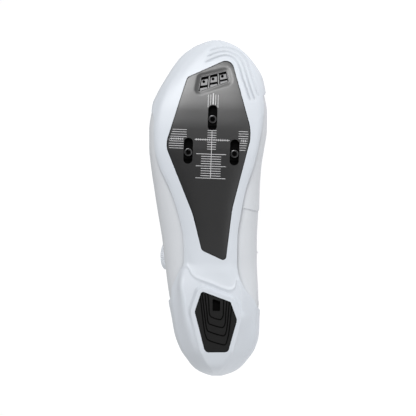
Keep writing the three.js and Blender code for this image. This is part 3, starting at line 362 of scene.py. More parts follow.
# Meshes
def new_object(name, points, faces):
    """A mesh in the row frame, in metres, from points of the standing shoe, in millimetres."""
    points = (np.asarray(points, float).reshape(-1, 3) @ TURN.T + SHIFT) / 1000
    mesh = bpy.data.meshes.new(name)
    mesh.from_pydata(points.tolist(), [], faces)
    mesh.validate()
    obj = bpy.data.objects.new(name, mesh)
    bpy.context.scene.collection.objects.link(obj)
    return obj


def soften(obj, angle=38):
    """Smooth shading up to an angle between faces, in degrees."""
    obj.data.shade_smooth()
    obj.data.set_sharp_from_angle(angle=math.radians(angle))
    return obj


def tube_faces(rings, n, first):
    """The faces between rings of n points each, whose first point has the number first."""
    faces = []
    for i in range(rings - 1):
        for j in range(n):
            a, b = first + i * n + j, first + i * n + (j + 1) % n
            faces.append((a, a + n, b + n, b))
    return faces


def closed_rings(name, rings, start, end):
    """A closed mesh through rings (m, n, 3), ending in two points."""
    m, n = rings.shape[:2]
    points = np.concatenate([[start], rings.reshape(-1, 3), [end]])
    faces = tube_faces(m, n, 1)
    for j in range(n):
        k = (j + 1) % n
        faces.append((0, 1 + j, 1 + k))
        faces.append((1 + (m - 1) * n + j, len(points) - 1, 1 + (m - 1) * n + k))
    return new_object(name, points, faces)


def capped_rings(name, rings):
    """A closed mesh through rings (m, n, 3), with a flat face at either end."""
    m, n = rings.shape[:2]
    faces = tube_faces(m, n, 0)
    faces.append(tuple(range(n)))
    faces.append(tuple(range(m * n - 1, (m - 1) * n - 1, -1)))
    return new_object(name, rings.reshape(-1, 3), faces)


def slab(name, xs, ys, low, high):
    """A closed mesh between two heights; ys is (m, n), and low and high are arrays or numbers."""
    m, n = ys.shape
    x = np.repeat(np.asarray(xs, float)[:, None], n, 1)
    bottom = np.stack([x, ys, low + 0 * ys], -1).reshape(-1, 3)
    top = np.stack([x, ys, high + 0 * ys], -1).reshape(-1, 3)
    half, faces = m * n, []
    for i in range(m - 1):
        for j in range(n - 1):
            a = i * n + j
            faces.append((a, a + 1, a + n + 1, a + n))
            faces.append((half + a, half + a + n, half + a + n + 1, half + a + 1))
        for a, b in ((i * n, (i + 1) * n), ((i + 2) * n - 1, (i + 1) * n - 1)):
            faces.append((a, b, b + half, a + half))
    for j in range(n - 1):
        for a, b in ((j + 1, j), ((m - 1) * n + j, (m - 1) * n + j + 1)):
            faces.append((a, b, b + half, a + half))
    return new_object(name, np.concatenate([bottom, top]), faces)


def prism(name, points, low=DEEP, high=HIGH, sideways=False):
    """A block over an outline in the plan or, sideways, in the side view, as x and z."""
    n = len(points)
    ends = [np.insert(points, 1 if sideways else 2, float(level), 1) for level in (low, high)]
    faces = [(i, (i + 1) % n, n + (i + 1) % n, n + i) for i in range(n)]
    faces += [tuple(range(n - 1, -1, -1)), tuple(range(n, 2 * n))]
    if sideways:
        faces = [face[::-1] for face in faces]
    return new_object(name, np.concatenate(ends), faces)


def less(*tools):
    return [("DIFFERENCE", tool) for tool in tools]


def within(tool):
    return [("INTERSECT", tool)]


def plus(*tools):
    return [("UNION", tool) for tool in tools]


def carve(obj, steps):
    """Applies joins and cuts in turn, and takes the tools away."""
    tools = []
    for operation, other in steps:
        cut = obj.modifiers.new("cut", "BOOLEAN")
        cut.operation, cut.object, cut.solver = operation, other, "MANIFOLD"
        tools.append(other)
    graph = bpy.context.evaluated_depsgraph_get()
    mesh = bpy.data.meshes.new_from_object(obj.evaluated_get(graph))
    obj.modifiers.clear()
    old, obj.data = obj.data, mesh
    bpy.data.meshes.remove(old)
    for tool in set(tools):
        bpy.data.objects.remove(tool)
    return obj


# The last as fine rings, and solids grown or shrunk from it
def last_rings(upper=26, lower=14, bottom=24):
    """Rings that run down the inner side, across the bottom and up the outer side."""
    stations = (1 - np.cos(np.pi * np.arange(1, 130) / 130)) / 2
    falling = np.r_[np.linspace(90, 0, upper + 1)[:-1], np.linspace(0, -90, lower + 1)]
    half = len(falling)
    side = np.repeat([1.0, -1.0], half)
    degrees = np.r_[falling, falling[::-1]]
    grid = skin(stations[:, None], side[None, :], degrees[None, :])
    share = np.linspace(0, 1, bottom + 1)[1:-1]
    inner, outer = grid[:, half - 1], grid[:, half]
    flat = inner[:, None] + (outer - inner)[:, None] * share[None, :, None]
    return np.concatenate([grid[:, :half], flat, grid[:, half:-1]], 1)


def ring_normals(rings, start, end):
    along = np.empty_like(rings)
    along[1:-1] = rings[2:] - rings[:-2]
    along[0], along[-1] = rings[1] - start, end - rings[-2]
    around = np.roll(rings, -1, 1) - np.roll(rings, 1, 1)
    return unit(np.cross(along, around))


HEEL_POLE = np.array([x_of(0), 0.03 * BALL, float(bed(0))])
TOE_POLE = np.array([x_of(1), 0.03 * BALL, float(bed(1))])
LAST_RINGS = last_rings()
LAST_NORMALS = ring_normals(LAST_RINGS, HEEL_POLE, TOE_POLE)
X_WAY = np.array([1.0, 0, 0])


def last_solid(distance, name="last"):
    """The last grown by a distance, or by a function that gives the distance at each point."""
    if callable(distance):
        grow = distance(LAST_RINGS)
        back, front = distance(HEEL_POLE[None])[0], distance(TOE_POLE[None])[0]
    else:
        grow, back, front = np.full(LAST_RINGS.shape[:2], float(distance)), distance, distance
    rings = LAST_RINGS + LAST_NORMALS * grow[..., None]
    return closed_rings(name, rings, HEEL_POLE - X_WAY * back, TOE_POLE + X_WAY * front)


def wall_at(points):
    """Thickness of the upper's wall, which is padded round the collar."""
    up = smooth(points[..., 2], 0.52 * COLLAR, 0.8 * COLLAR)
    back = 1 - smooth(points[..., 0], 0.3 * LENGTH, 0.4 * LENGTH)
    return lerp(WALL, COLLAR_WALL, up * back)


# The outer form of the sole, with its grooves at the toe
TOE_GROOVES = [
    [(270.4, -4.3), (273.0, 1.1), (274.2, 6.9), (274.1, 12.7), (271.9, 19.2), (267.9, 25.0), (262.5, 28.6),
     (255.2, 31.1), (245.9, 33.7), (237.2, 36.6), (230.7, 38.7)],
    [(265.4, -6.8), (268.7, 0.4), (270.7, 6.9), (270.4, 12.7), (268.2, 18.5), (264.3, 23.5), (259.6, 25.7),
     (251.6, 27.9), (240.8, 30.8), (230.7, 34.4), (227.4, 36.2)],
    [(260.6, -8.3), (264.3, -0.3), (266.8, 6.2), (267.3, 11.3), (265.7, 16.3), (261.7, 20.3), (256.0, 22.5),
     (248.0, 24.6), (239.3, 27.6), (231.3, 30.1), (227.0, 32.6)],
]


def curve_through(points, count=60):
    """A smooth line through points, as count points evenly spread over the stretches."""
    points = np.array(points, float)
    padded = np.concatenate([[2 * points[0] - points[1]], points, [2 * points[-1] - points[-2]]])
    t = np.linspace(0, len(points) - 1, count)
    i = np.minimum(t.astype(int), len(points) - 2)
    f = (t - i)[:, None]
    p0, p1, p2, p3 = padded[i], padded[i + 1], padded[i + 2], padded[i + 3]
    return 0.5 * (2 * p1 + (p2 - p0) * f + (2 * p0 - 5 * p1 + 4 * p2 - p3) * f ** 2
                  + (3 * p1 - p0 - 3 * p2 + p3) * f ** 3)


GROOVE_DEEP, GROOVE_WIDE = 1.1, 0.75


def toe_groove(x, y):
    """Depth of the grooves round the toe."""
    depth = np.zeros(np.shape(x))
    for line in TOE_GROOVES:
        distance, along = line_distance(curve_through(line), x, y)
        fade = smooth(along, 0, 0.07) * (1 - smooth(along, 0.92, 1))
        depth = np.maximum(depth, GROOVE_DEEP * fade * hill(distance, GROOVE_WIDE))
    return depth


TOE_LONGER, HEEL_LONGER, HEEL_WIDER, EASING = 1.6, 2.4, 0.07, 14


def sole_rings():
    """Rings over the wrap on the inner side, round its corner, across the underside and up the outer side."""
    at = np.r_[np.linspace(0.003, 0.09, 24), np.linspace(0.094, 0.34, 84), np.linspace(0.347, 0.79, 56),
               np.linspace(0.794, 0.985, 120), 0.989, 0.993, 0.9965, 0.999][:, None]
    upper = np.linspace(90, 0, 11)[:-1]
    lower = np.linspace(0, -62, 12)
    bend = np.linspace(0, 1, 14)[1:-1]
    shares = np.linspace(0.9, -0.9, 150)

    def edge(side):
        return side * BALL * sided(sole, "edge", side, at)

    def wrapped(side, degrees):
        degrees = degrees[None, :] + 0 * at
        sides = np.full(degrees.shape, side)
        spread = at + 0 * degrees
        return skin(spread, sides, degrees) + WRAP * skin_normal(spread, sides, degrees)

    def place(share):
        inner, outer = edge(1), edge(-1)
        thin = (inner < 0) | (outer > 0)
        usual = np.where(share > 0, share * inner, -share * outer)
        return np.where(thin, lerp(outer, inner, (share + 1) / 2), usual)

    def corner(side):
        first = wrapped(side, lower)
        p0 = first[:, -1]
        x, below = p0[:, :1], x_of(at)
        e = edge(side)
        z = sole_bottom(below, e)
        foot = side * BALL * sided(last, "foot", side, at) + side * WRAP * 0.7
        p1 = np.concatenate([x, lerp(foot, e, 0.3), lerp(bed(at), z, 0.45)], 1)
        p2 = np.concatenate([lerp(x, below, 0.5), e + side * 0.9, z - 0.25], 1)
        y3 = place(side * 0.9)
        p3 = np.concatenate([below, y3, sole_bottom(below, y3)], 1)
        t = bend[None, :, None]
        r = 1 - t
        p0, p1, p2, p3 = (p[:, None, :] for p in (p0, p1, p2, p3))
        return first, p0 * r ** 3 + 3 * p1 * r * r * t + 3 * p2 * r * t * t + p3 * t ** 3

    inner, inner_bend = corner(1)
    outer, outer_bend = corner(-1)
    x = x_of(at)
    ys = place(shares[None, :] + 0 * at)
    floor = np.stack([x + 0 * ys, ys, sole_bottom(x, ys)], -1)
    rings = np.concatenate([
        wrapped(1, upper), inner, inner_bend, floor,
        outer_bend[:, ::-1], outer[:, ::-1], wrapped(-1, upper)[:, :0:-1],
    ], 1)
    start = np.repeat((HEEL_POLE - X_WAY * WRAP)[None, None], rings.shape[1], 1)
    end = np.repeat((TOE_POLE + X_WAY * WRAP)[None, None], rings.shape[1], 1)
    # Both ends are eased round, and then drawn out a little
    eased = (1 - smooth(at, 0.045, 0.075) + smooth(at, 0.962, 0.975))[:, :, None]
    for _ in range(EASING):
        before, after = np.concatenate([start, rings[:-1]]), np.concatenate([rings[1:], end])
        near = (before + after + np.roll(rings, 1, 1) + np.roll(rings, -1, 1)) / 4
        rings = lerp(rings, near, 0.8 * eased)
    heel_end, toe_end = 1 - smooth(at, -0.01, 0.05), smooth(at, 0.955, 1.005)
    rings[..., 0] += TOE_LONGER * toe_end - HEEL_LONGER * heel_end
    rings[..., 1] += HEEL_WIDER * heel_end * (rings[..., 1] - HEEL_POLE[1])
    return rings


def sole_form():
    rings = sole_rings()
    start, end = (rings[i].mean(0) + X_WAY * way for i, way in ((0, -0.25), (-1, 0.25)))
    normals = ring_normals(rings, start, end)
    low = rings[..., 2] < bed(at_of(rings[..., 0])) + 14  # the grooves end well up the wrap
    depth = np.where(low, toe_groove(rings[..., 0], rings[..., 1]), 0)
    return closed_rings("outsole_shell", rings - normals * depth[..., None], start, end)


def above_rim():
    """All that lies over the top edge of the sole."""
    xs = np.r_[-20, np.linspace(2, 278, 240), 300]
    at = at_of(xs)[:, None]
    ys = np.repeat([[-60.0, 60.0]], len(xs), 0)
    share = (ys / BALL + 0.45) / 0.9
    height = bed(at) + LIFT * lerp(read(rim, "rimOut", at), read(rim, "rimIn", at), share)
    return slab("above_rim", xs, ys, height, HIGH)


def sole_outline():
    xs = np.r_[-20, np.linspace(2, 278, 277 * 2), 300]
    at = np.clip(at_of(xs), 0, 1)
    ys = [side * BALL * (sided(sole, "edge", side, at) + sided(trim, "trim", side, at)) for side in (-1, 1)]
    return slab("sole_outline", xs, np.stack(ys, 1), DEEP, HIGH)


def cells(step, box):
    """Stations and rows that cover a box of the plan, given as its ends along and across."""
    xs = np.arange(box[0], box[1] + step, step)
    ys = np.repeat(np.arange(box[2], box[3] + step, step)[None, :], len(xs), 0)
    return xs, ys


def layer(low, high, step=2.0, box=(90, 274, -44, 38)):
    """The room between two distances above the sole's underside."""
    xs, ys = cells(step, box)
    under = sole_bottom(xs[:, None], ys)
    return slab("room", xs, ys, under + low, under + high)


PLATE_THICK, PLATE_SUNK, PAD_THICK, PAD_SUNK = 4.2, 0.4, 4.5, 0.3
BOWL_DEEP = 0.75
outsole = sole_form()
plate_pocket = carve(prism("pocket", outline(PLATE, GAP)), within(layer(DEEP, PLATE_THICK + GAP)))
pad_pocket = prism("pocket", outline(PAD, GAP), DEEP, PAD_THICK + GAP)
carve(outsole, within(sole_outline()) + less(above_rim(), last_solid(GAP), plate_pocket, pad_pocket))
soften(outsole)

# The plate with its slots and its vent
CLEAT = np.array([0.6621 * LENGTH, -0.0147 * BALL])
CLEAT_TURN = math.radians(2.08)


def turned(ahead, inward):
    """A way along and across the cleat, in the plan."""
    c, s = math.cos(CLEAT_TURN), math.sin(CLEAT_TURN)
    return np.array([ahead * c - inward * s, ahead * s + inward * c])


def cleat_point(ahead, inward):
    return CLEAT + turned(ahead, inward)


BOLTS = {"front": cleat_point(28.1, 0), "outer": cleat_point(0, -19.25), "inner": cleat_point(0, 19.25)}
SLOT_WIDTH, SLOT_LONG, SLOT_LEAD = 7.6, 21.5, 1.2


def slot_outline(bolt, grow=0.0):
    """A slot with round ends, a little ahead of its bolt."""
    corners = []
    width, long = SLOT_WIDTH + grow, SLOT_LONG + grow
    for x, y in ((-1, -1), (1, -1), (1, 1), (-1, 1)):
        spot = bolt + turned(x * long / 2 + SLOT_LEAD, y * width / 2)
        corners.append((*spot, width / 2 * 0.98))
    return outline(corners)


def plate_underside(x, y):
    """Height of the plate's face, which sinks in a soft bowl round the vent."""
    bowl = smooth(inside(outline(VENT, 0.6), x, y), -3.6, 0.6)
    return sole_bottom(x, y) + PLATE_SUNK + BOWL_DEEP * bowl


def plate_layer():
    xs, ys = cells(0.8, (90, 270, -44, 38))
    x = xs[:, None]
    return slab("plate_layer", xs, ys, plate_underside(x, ys), sole_bottom(x, ys) + PLATE_THICK)


plate = prism("sole_plate_board", outline(PLATE, -0.2))
steps = within(plate_layer()) + less(prism("opening", outline(VENT, GAP)))
for bolt in BOLTS.values():
    nut_room = carve(prism("room", slot_outline(bolt, 4)), within(layer(PLATE_THICK - 1.7, 60)))
    steps += less(prism("slot", slot_outline(bolt)), nut_room)
carve(plate, steps)
soften(plate)

# The upper
TOP_LINE = [
    (-0.05, 1.000), (0.030, 0.994), (0.060, 0.962), (0.105, 0.890), (0.155, 0.836), (0.210, 0.812),
    (0.262, 0.828), (0.310, 0.890), (0.350, 0.985), (0.385, 1.085), (0.405, 1.200),
]
THROAT_FRONT, THROAT_BACK, THROAT_WIDTH = 0.668, 0.36, 32.0


def collar_rows(count):
    """The collar's line in the side view, as x and z."""
    return curve_through([(x * LENGTH, z * COLLAR) for x, z in TOP_LINE], count)


def collar_cut():
    line = collar_rows(90)
    line = np.concatenate([line, [[line[-1, 0], HIGH], [line[0, 0], HIGH]]])
    return prism("collar", line, -ASIDE, ASIDE, True)


def throat_half(x):
    """Half the throat's width, which narrows to the front."""
    return THROAT_WIDTH / 2 * lerp(1, 0.62, smooth(x / LENGTH, 0.42, THROAT_FRONT))


def both_sides(rows):
    """Corners on either side of the ridge, from rows of x, the way from the ridge and what else they hold."""
    outer = [(x, ridge_at(x) - half, *more) for x, half, *more in rows]
    return outer + [(x, ridge_at(x) + half, *more) for x, half, *more in rows[::-1]]


def throat_stations():
    """Back, near, middle and front of the throat."""
    front, back = THROAT_FRONT * LENGTH, THROAT_BACK * LENGTH
    return back, lerp(back, front, 0.18), lerp(back, front, 0.5), front


def throat_cut():
    back, near, mid, front = throat_stations()
    return prism("throat", outline(both_sides([
        (back, 1.5 * throat_half(back), 1), (near, throat_half(near), 12),
        (mid, throat_half(mid), 60), (front, throat_half(front), throat_half(front) * 0.95),
    ])), HALFWAY)


QUARTER = np.array([
    (0.500, -0.40), (0.4975, 0.16), (0.492, 0.23), (0.491, 0.33), (0.499, 0.42), (0.518, 0.56), (0.532, 0.68),
    (0.515, 0.760), (0.460, 0.800), (0.400, 0.800), (0.340, 0.745), (0.290, 0.660), (0.250, 0.600),
    (0.215, 0.520), (0.196, 0.400), (0.190, 0.200), (0.190, -0.40),
]) * [LENGTH, RISE]


QUARTER_STEP = 0.8


def quarter_recess():
    """The step in the upper's inner side."""
    line = np.concatenate([[QUARTER[0]], curve_through(QUARTER[1:-1], 120), [QUARTER[-1]]])
    return carve(prism("quarter", line, ridge_at(x_of(0.45)), ASIDE, True), less(last_solid(-QUARTER_STEP)))


LEDGE = 9.0


def underside():
    """The opening in the upper's bottom, which leaves a ledge all round."""
    xs = np.linspace(0.1 * LENGTH, 0.9 * LENGTH, 60)
    at = at_of(xs)
    ys = [side * (BALL * sided(last, "foot", side, at) - LEDGE) for side in (-1, 1)]
    return slab("underside", xs, np.stack(ys, 1), DEEP, (bed(at) + 6)[:, None])


upper = last_solid(0, "upper_shell")
room_inside = last_solid(lambda points: -wall_at(points))
carve(upper, less(quarter_recess(), room_inside, underside(), collar_cut(), throat_cut()))
soften(upper)

# The heel pad
pad = prism("heel_pad_rubber", outline(PAD), PAD_SUNK, PAD_THICK)
GROOVES = [
    (-0.049, -0.029, 0.090, 0.086, 0.173, 0.166, 0.183),
    (-0.073, -0.041, 0.115, 0.102, 0.152, 0.142, 0.160),
    (-0.096, -0.050, 0.138, 0.111, 0.130, 0.117, 0.138),
    (-0.114, -0.059, 0.161, 0.118, 0.105, 0.090, 0.117),
]


def groove_strip(row, width=1.0, depth=0.8):
    """A groove down one leg, round its foot and up the other."""
    top_out, side_out, top_in, side_in, turn_out, turn_in, leg = row
    line = curve_through([
        (0.27, top_out - 0.004), (leg + 0.035, lerp(top_out, side_out, 0.62)), (leg, side_out),
        (turn_out, side_out + 0.032), (lerp(turn_out, turn_in, 0.7), lerp(side_out, side_in, 0.72)),
        (turn_in + 0.004, side_in - 0.016), (turn_in + 0.016, side_in),
        (leg + 0.03, lerp(top_in, side_in, 0.5)), (0.27, top_in + 0.01),
    ], 90) * [LENGTH, BALL]
    way = unit(np.gradient(line, axis=0))
    across = np.stack([-way[:, 1], way[:, 0]], 1) * width / 2
    return prism("groove", np.concatenate([line - across, (line + across)[::-1]]), DEEP, PAD_SUNK + depth)


pad_hole = prism("hole", outline(PAD_HOLE), DEEP, PAD_THICK - 1)
carve(pad, less(pad_hole, *(groove_strip(row) for row in GROOVES)))
soften(pad)

# The insole and the tongue
xs = np.linspace(-5, 285, 120)
ys = np.repeat([[-60.0, 60.0]], len(xs), 0)
bed_room = slab("bed", xs, ys, DEEP, (bed(at_of(xs)) + WALL + GAP + 3.5)[:, None])
insole = soften(carve(last_solid(-WALL - GAP, "insole_board"), within(bed_room)))


def tongue_plan(half=25.0):
    rows = [(0.338 * LENGTH, 0.8 * half, 12), (0.5 * LENGTH, half, 60), (0.715 * LENGTH, 0.7 * half, 10)]
    return outline(both_sides(rows))


TONGUE_EDGE = tongue_plan()


def tongue_front(points):
    return -wall_at(points) - GAP


def tongue_back(points):
    """The tongue is thin at its edge and thicker further in."""
    further_in = smooth(inside(TONGUE_EDGE, points[..., 0], points[..., 1]), 0, 6)
    return tongue_front(points) - lerp(1.0, 2.4, further_in)


def circle(radius, count):
    ring = np.linspace(0, 2 * np.pi, count, endpoint=False)
    return np.stack([np.cos(ring), np.sin(ring)], 1) * radius


def tongue_holes():
    """Small air holes in rows along the middle of the tongue."""
    made = []
    for row in range(22):
        x = 0.40 * LENGTH + 3.6 * row
        for column in (-1, 0, 1):
            spot = np.array([x + (1.8 if column else 0), ridge_at(x) + 3.4 * column])
            made.append(prism("air", spot + circle(0.8, 14), HALFWAY))
    return made


tongue = last_solid(tongue_front, "tongue_layer")
tongue_shape = less(last_solid(tongue_back)) + within(prism("plan", TONGUE_EDGE, HALFWAY))
carve(tongue, tongue_shape + less(*tongue_holes()))
soften(tongue)


# Round pieces turned about an axis
def lathe(name, centre, axis, profile, count=48, wave=None):
    """profile is (radius, height) from the bottom up, and wave takes its depth off the radius by angle."""
    axis = unit(np.asarray(axis, float))
    first = unit(np.cross(axis, [0, 0, 1.0]) if abs(axis[2]) < 0.9 else np.cross(axis, [0, 1.0, 0]))
    second = np.cross(axis, first)
    angles = np.linspace(0, 2 * np.pi, count, endpoint=False)
    profile = np.array(profile, float)
    radius = np.repeat(profile[:, :1], count, 1)
    if wave:
        radius = radius - wave(angles)[None, :] * (radius > 0.8 * profile[:, 0].max())
    rings = (np.asarray(centre) + axis * profile[:, 1][:, None, None]
             + first * (radius * np.cos(angles))[..., None] + second * (radius * np.sin(angles))[..., None])
    return capped_rings(name, rings)


def make_nut(which, half=5.5, pitch_height=0.4):
    """A square flange that follows the plate, with a boss and a thread through it."""
    x, y = BOLTS[which]
    base = float(sole_bottom(x, y))
    low, top = base + 0.7, base + PLATE_THICK - GAP
    corners = [(x + a * half, y + b * half, 2) for a, b in ((-1, -1), (1, -1), (1, 1), (-1, 1))]
    flange_top = PLATE_THICK - GAP
    flange_room = layer(flange_top - 1.1, flange_top, 2, (x - 7, x + 7, y - 7, y + 7))
    boss = lathe("boss", (x, y, 0), (0, 0, 1), [
        (1.9, low + 0.9), (2.6, low + 0.15), (2.72, low), (2.9, low), (3.1, low + 0.1), (3.4, low + 0.7),
        (3.4, top - 0.55), (1.9, top - 0.55),
    ])
    rows = [(1.95, base - 2), (1.95, low + 0.9)]
    z = low + 0.9
    while z < top + 0.3:
        rows += [(2.3, z + pitch_height / 2), (2.05, z + pitch_height)]
        z += pitch_height
    thread = lathe("thread", (x, y, 0), (0, 0, 1), rows, 32)
    made = carve(prism("nut", outline(corners)), within(flange_room) + plus(boss) + less(thread))
    made.name = f"nut_{which}"
    return soften(made, 30)


nuts = {which: make_nut(which) for which in BOLTS}


# The vent insert
def make_vent(rib=0.5):
    """Three cells between ribs. In each a low wedge, a slot, a shelf with a hole, and a deep front."""
    floor = PLATE_THICK - 0.9 - GAP
    face = floor - 2.3
    box = (230, 262, -20, 20)
    a, b, c, d = (np.array(corner[:2]) for corner in VENT)
    rib_share = rib / (0.25 * BALL)

    def spot(u, v):
        """A place in the vent, by its shares along and across."""
        return lerp(lerp(a, d, v), lerp(b, c, v), u)

    def block(places, low, high):
        edge = outline([(*spot(u, v), 0.3) for u, v in places])
        return carve(prism("block", edge), within(layer(low, high, 1.5, box)))

    steps = within(layer(face, floor + 0.5, 1.5, box))
    steps += less(block([(0.72, 0.02), (0.97, 0.02), (0.97, 0.98), (0.72, 0.98)], DEEP, face + 1.1))
    for k in range(3):
        left, right = k / 3 + rib_share, (k + 1) / 3 - rib_share
        near, far = lerp(left, right, 0.12), lerp(left, right, 0.9)
        steps += less(block([(0.03, left), (0.95, left), (0.95, right), (0.03, right)], DEEP, face + 2.3))
        wedge = block([(0.03, near), (0.2, near), (0.13, far), (0.03, far)], face + 0.5, face + 2.5)
        shelf = block([(0.37, near), (0.76, near), (0.73, far), (0.3, far)], face + 1.0, face + 2.5)
        middle = spot(0.61, lerp(left, right, 0.42))
        steps += plus(wedge, shelf) + less(prism("hole", middle + circle(1.25, 24)))
    return soften(carve(prism("vent_cells", outline(VENT)), steps), 30)


vent = make_vent()

# The dial, at a place on the last
DIAL = (0.352, -1, 36.0)
DIAL_RADIUS = 14.0
dial_centre, dial_axis = skin(*DIAL), skin_normal(*DIAL)
base_solid = lathe("dial_foot", dial_centre, dial_axis, [
    (DIAL_RADIUS, -5.5), (DIAL_RADIUS, 1.2), (13.9, 1.7), (13.6, 2.2), (13.1, 2.6), (12.9, 2.9),
], 96)
carve(base_solid, less(last_solid(GAP)))
soften(base_solid, 30)
bottom = 2.6 + 2 * GAP
knob_profile = [
    (11.9, 0), (12.3, 0.25), (12.5, 0.8), (12.5, 4.3), (12.35, 4.9), (11.9, 5.35), (11.2, 5.6), (9.6, 5.6),
    (9.2, 5.45), (9.0, 5.0), (8.8, 4.85), (4.0, 4.85), (3.7, 5.0), (2.0, 5.1),
]
knob = lathe("dial_wheel", dial_centre + dial_axis * bottom, dial_axis, knob_profile, 264,
             lambda angle: 0.42 * (0.5 - 0.5 * np.cos(44 * angle)) ** 0.7)
soften(knob, 30)

# The lace and its guides
GUIDES = []
for i, share in enumerate((0.432, 0.476, 0.520, 0.564, 0.608, 0.650)):
    gx, gs = share * LENGTH, 1 if i % 2 == 0 else -1
    GUIDES.append((gx, gs, ridge_at(gx) + gs * (float(throat_half(gx)) + 1)))
LACE_UP, LACE_TURN, LACE_RADIUS, TUNNEL_RADIUS = GAP + 1.8, 3.3, 0.7, 1.05


def lace_points():
    """From the dial round the outer side, then through the guides in turn, across the throat between them."""
    start, stop = dial_centre[0] + DIAL_RADIUS + 1.2, GUIDES[0][0] - LACE_TURN
    points = []
    for share in (0, 0.2, 0.4, 0.6, 0.8):
        place = (at_of(lerp(start, stop, share)), -1, lerp(36.0, 84.0, share))
        points.append(skin(*place) + skin_normal(*place) * LACE_UP)
    flat = []
    for (x, side, edge), following in zip(GUIDES, GUIDES[1:]):
        middle = (x + following[0]) / 2
        deep = edge + side * 3.2
        flat += [(x - LACE_TURN, edge), (x - LACE_TURN, deep), (x, edge + side * (3.2 + LACE_TURN)),
                 (x + LACE_TURN, deep), (x + LACE_TURN, edge), (middle, ridge_at(middle))]
    x, side, edge = GUIDES[-1]
    flat += [(x - LACE_TURN, edge), (x - LACE_TURN, edge + side * 5)]
    return points + [over_skin(px, py, LACE_UP) for px, py in flat]


def centripetal(points, per=10):
    """A smooth line through points that doesn't swing out where they lie close."""
    points = np.array(points)
    padded = np.concatenate([[2 * points[0] - points[1]], points, [2 * points[-1] - points[-2]]])
    made = []
    for i in range(len(points) - 1):
        row = padded[i:i + 4]
        knots = np.concatenate([[0], np.cumsum(np.linalg.norm(np.diff(row, axis=0), axis=1) ** 0.5)])
        for t in np.linspace(knots[1], knots[2], per, endpoint=False):
            level = row
            for reach in (1, 2):
                shares = [(t - knots[k]) / (knots[k + reach] - knots[k]) for k in range(4 - reach)]
                level = [lerp(level[k], level[k + 1], share) for k, share in enumerate(shares)]
            made.append(lerp(level[0], level[1], (t - knots[1]) / (knots[2] - knots[1])))
    return np.array(made + [points[-1]])


def tube(name, path, radius, sides=12):
    """A round bar along a path, whose rings don't twist."""
    way = unit(np.gradient(path, axis=0))
    normal = unit(np.cross(way[0], [0, 0, 1.0]))
    ring, rings = circle(radius, sides), []
    for point, along in zip(path, way):
        normal = unit(normal - along * (normal @ along))
        rings.append(point + np.outer(ring[:, 0], normal) + np.outer(ring[:, 1], np.cross(along, normal)))
    return capped_rings(name, np.array(rings)[:, ::-1])


LACE = lace_points()
lace = soften(tube("lace_cord", centripetal(LACE, 12), LACE_RADIUS), 50)


def make_guide(index, half=7.5):
    """A block that follows the skin, with the lace's tunnel through it and eased edges."""
    x, side, edge = GUIDES[index]
    near, far = edge + side * 0.8, edge + side * 10.3
    slim = half - 2
    corners = [(x - half, near, 1.6), (x + half, near, 1.6), (x + slim, far, 3.5), (x - slim, far, 3.5)]
    plan = prism("plan", outline(corners[::side]), HALFWAY - 4)
    tunnel = tube("tunnel", centripetal(LACE, 6), TUNNEL_RADIUS, 16)
    made = last_solid(GAP + 3.6, f"guide_{index + 1}")
    carve(made, less(last_solid(GAP)) + within(plan) + less(tunnel))
    remesh = made.modifiers.new("remesh", "REMESH")
    remesh.mode, remesh.voxel_size = "VOXEL", 0.00025
    ease = made.modifiers.new("ease", "SMOOTH")
    ease.factor, ease.iterations = 0.6, 6
    carve(made, [])
    return soften(made, 60)


guides = [make_guide(i) for i in range(len(GUIDES))]


# Lines on the upper: each a list of places on the last, as at, side and degrees
def degrees_at(at, side, height):
    """How far round the last the skin reaches a height, between its widest place and its ridge."""
    low, rise = bed(at), read(last, "rise", at) * RISE
    belly = low + rise * read(last, "belly", at)
    share = np.clip((height - belly) / (low + rise - belly), 0, 1)
    return np.degrees(np.arcsin(share ** (sided(last, "full", side, at) / 2)))


def top_line(x):
    rows = collar_rows(400)
    return np.interp(x, rows[:, 0], rows[:, 1])


def even(points, step):
    """The same line with its points a step apart."""
    lengths = np.r_[0, np.cumsum(np.linalg.norm(np.diff(points, axis=0), axis=1))]
    count = max(2, int(lengths[-1] / step) + 1)
    where = np.linspace(0, lengths[-1], count)
    return np.stack([np.interp(where, lengths, points[:, i]) for i in range(points.shape[1])], 1)


def on_skin(places, step):
    """Points and normals on the last along places, a step apart."""
    places = np.array(places, float)
    points = skin(places[:, 0], places[:, 1], places[:, 2])
    normals = skin_normal(places[:, 0], places[:, 1], places[:, 2])
    joined = even(np.concatenate([points, normals], 1), step)
    return joined[:, :3], unit(joined[:, 3:])


def collar_places(drop, start, stop=0.352):
    """From the throat on the outer side, round the back, to the throat on the inner side."""
    t = np.linspace(1, 0, 160)
    at = start + (stop - start) * t * t
    height = top_line(x_of(at)) - drop
    outer = [(a, -1, d) for a, d in zip(at, degrees_at(at, -1, height))]
    inner = [(a, 1, d) for a, d in zip(at, degrees_at(at, 1, height))]
    return outer + inner[::-1][1:]


def start_of(drop):
    """Where the last's ridge crosses the collar line at the back."""
    at = np.linspace(0.01, 0.08, 1400)
    ridge = bed(at) + read(last, "rise", at) * RISE
    return float(at[np.argmax(ridge > top_line(x_of(at)) - drop)])


ROLL_HIGH = 1.1


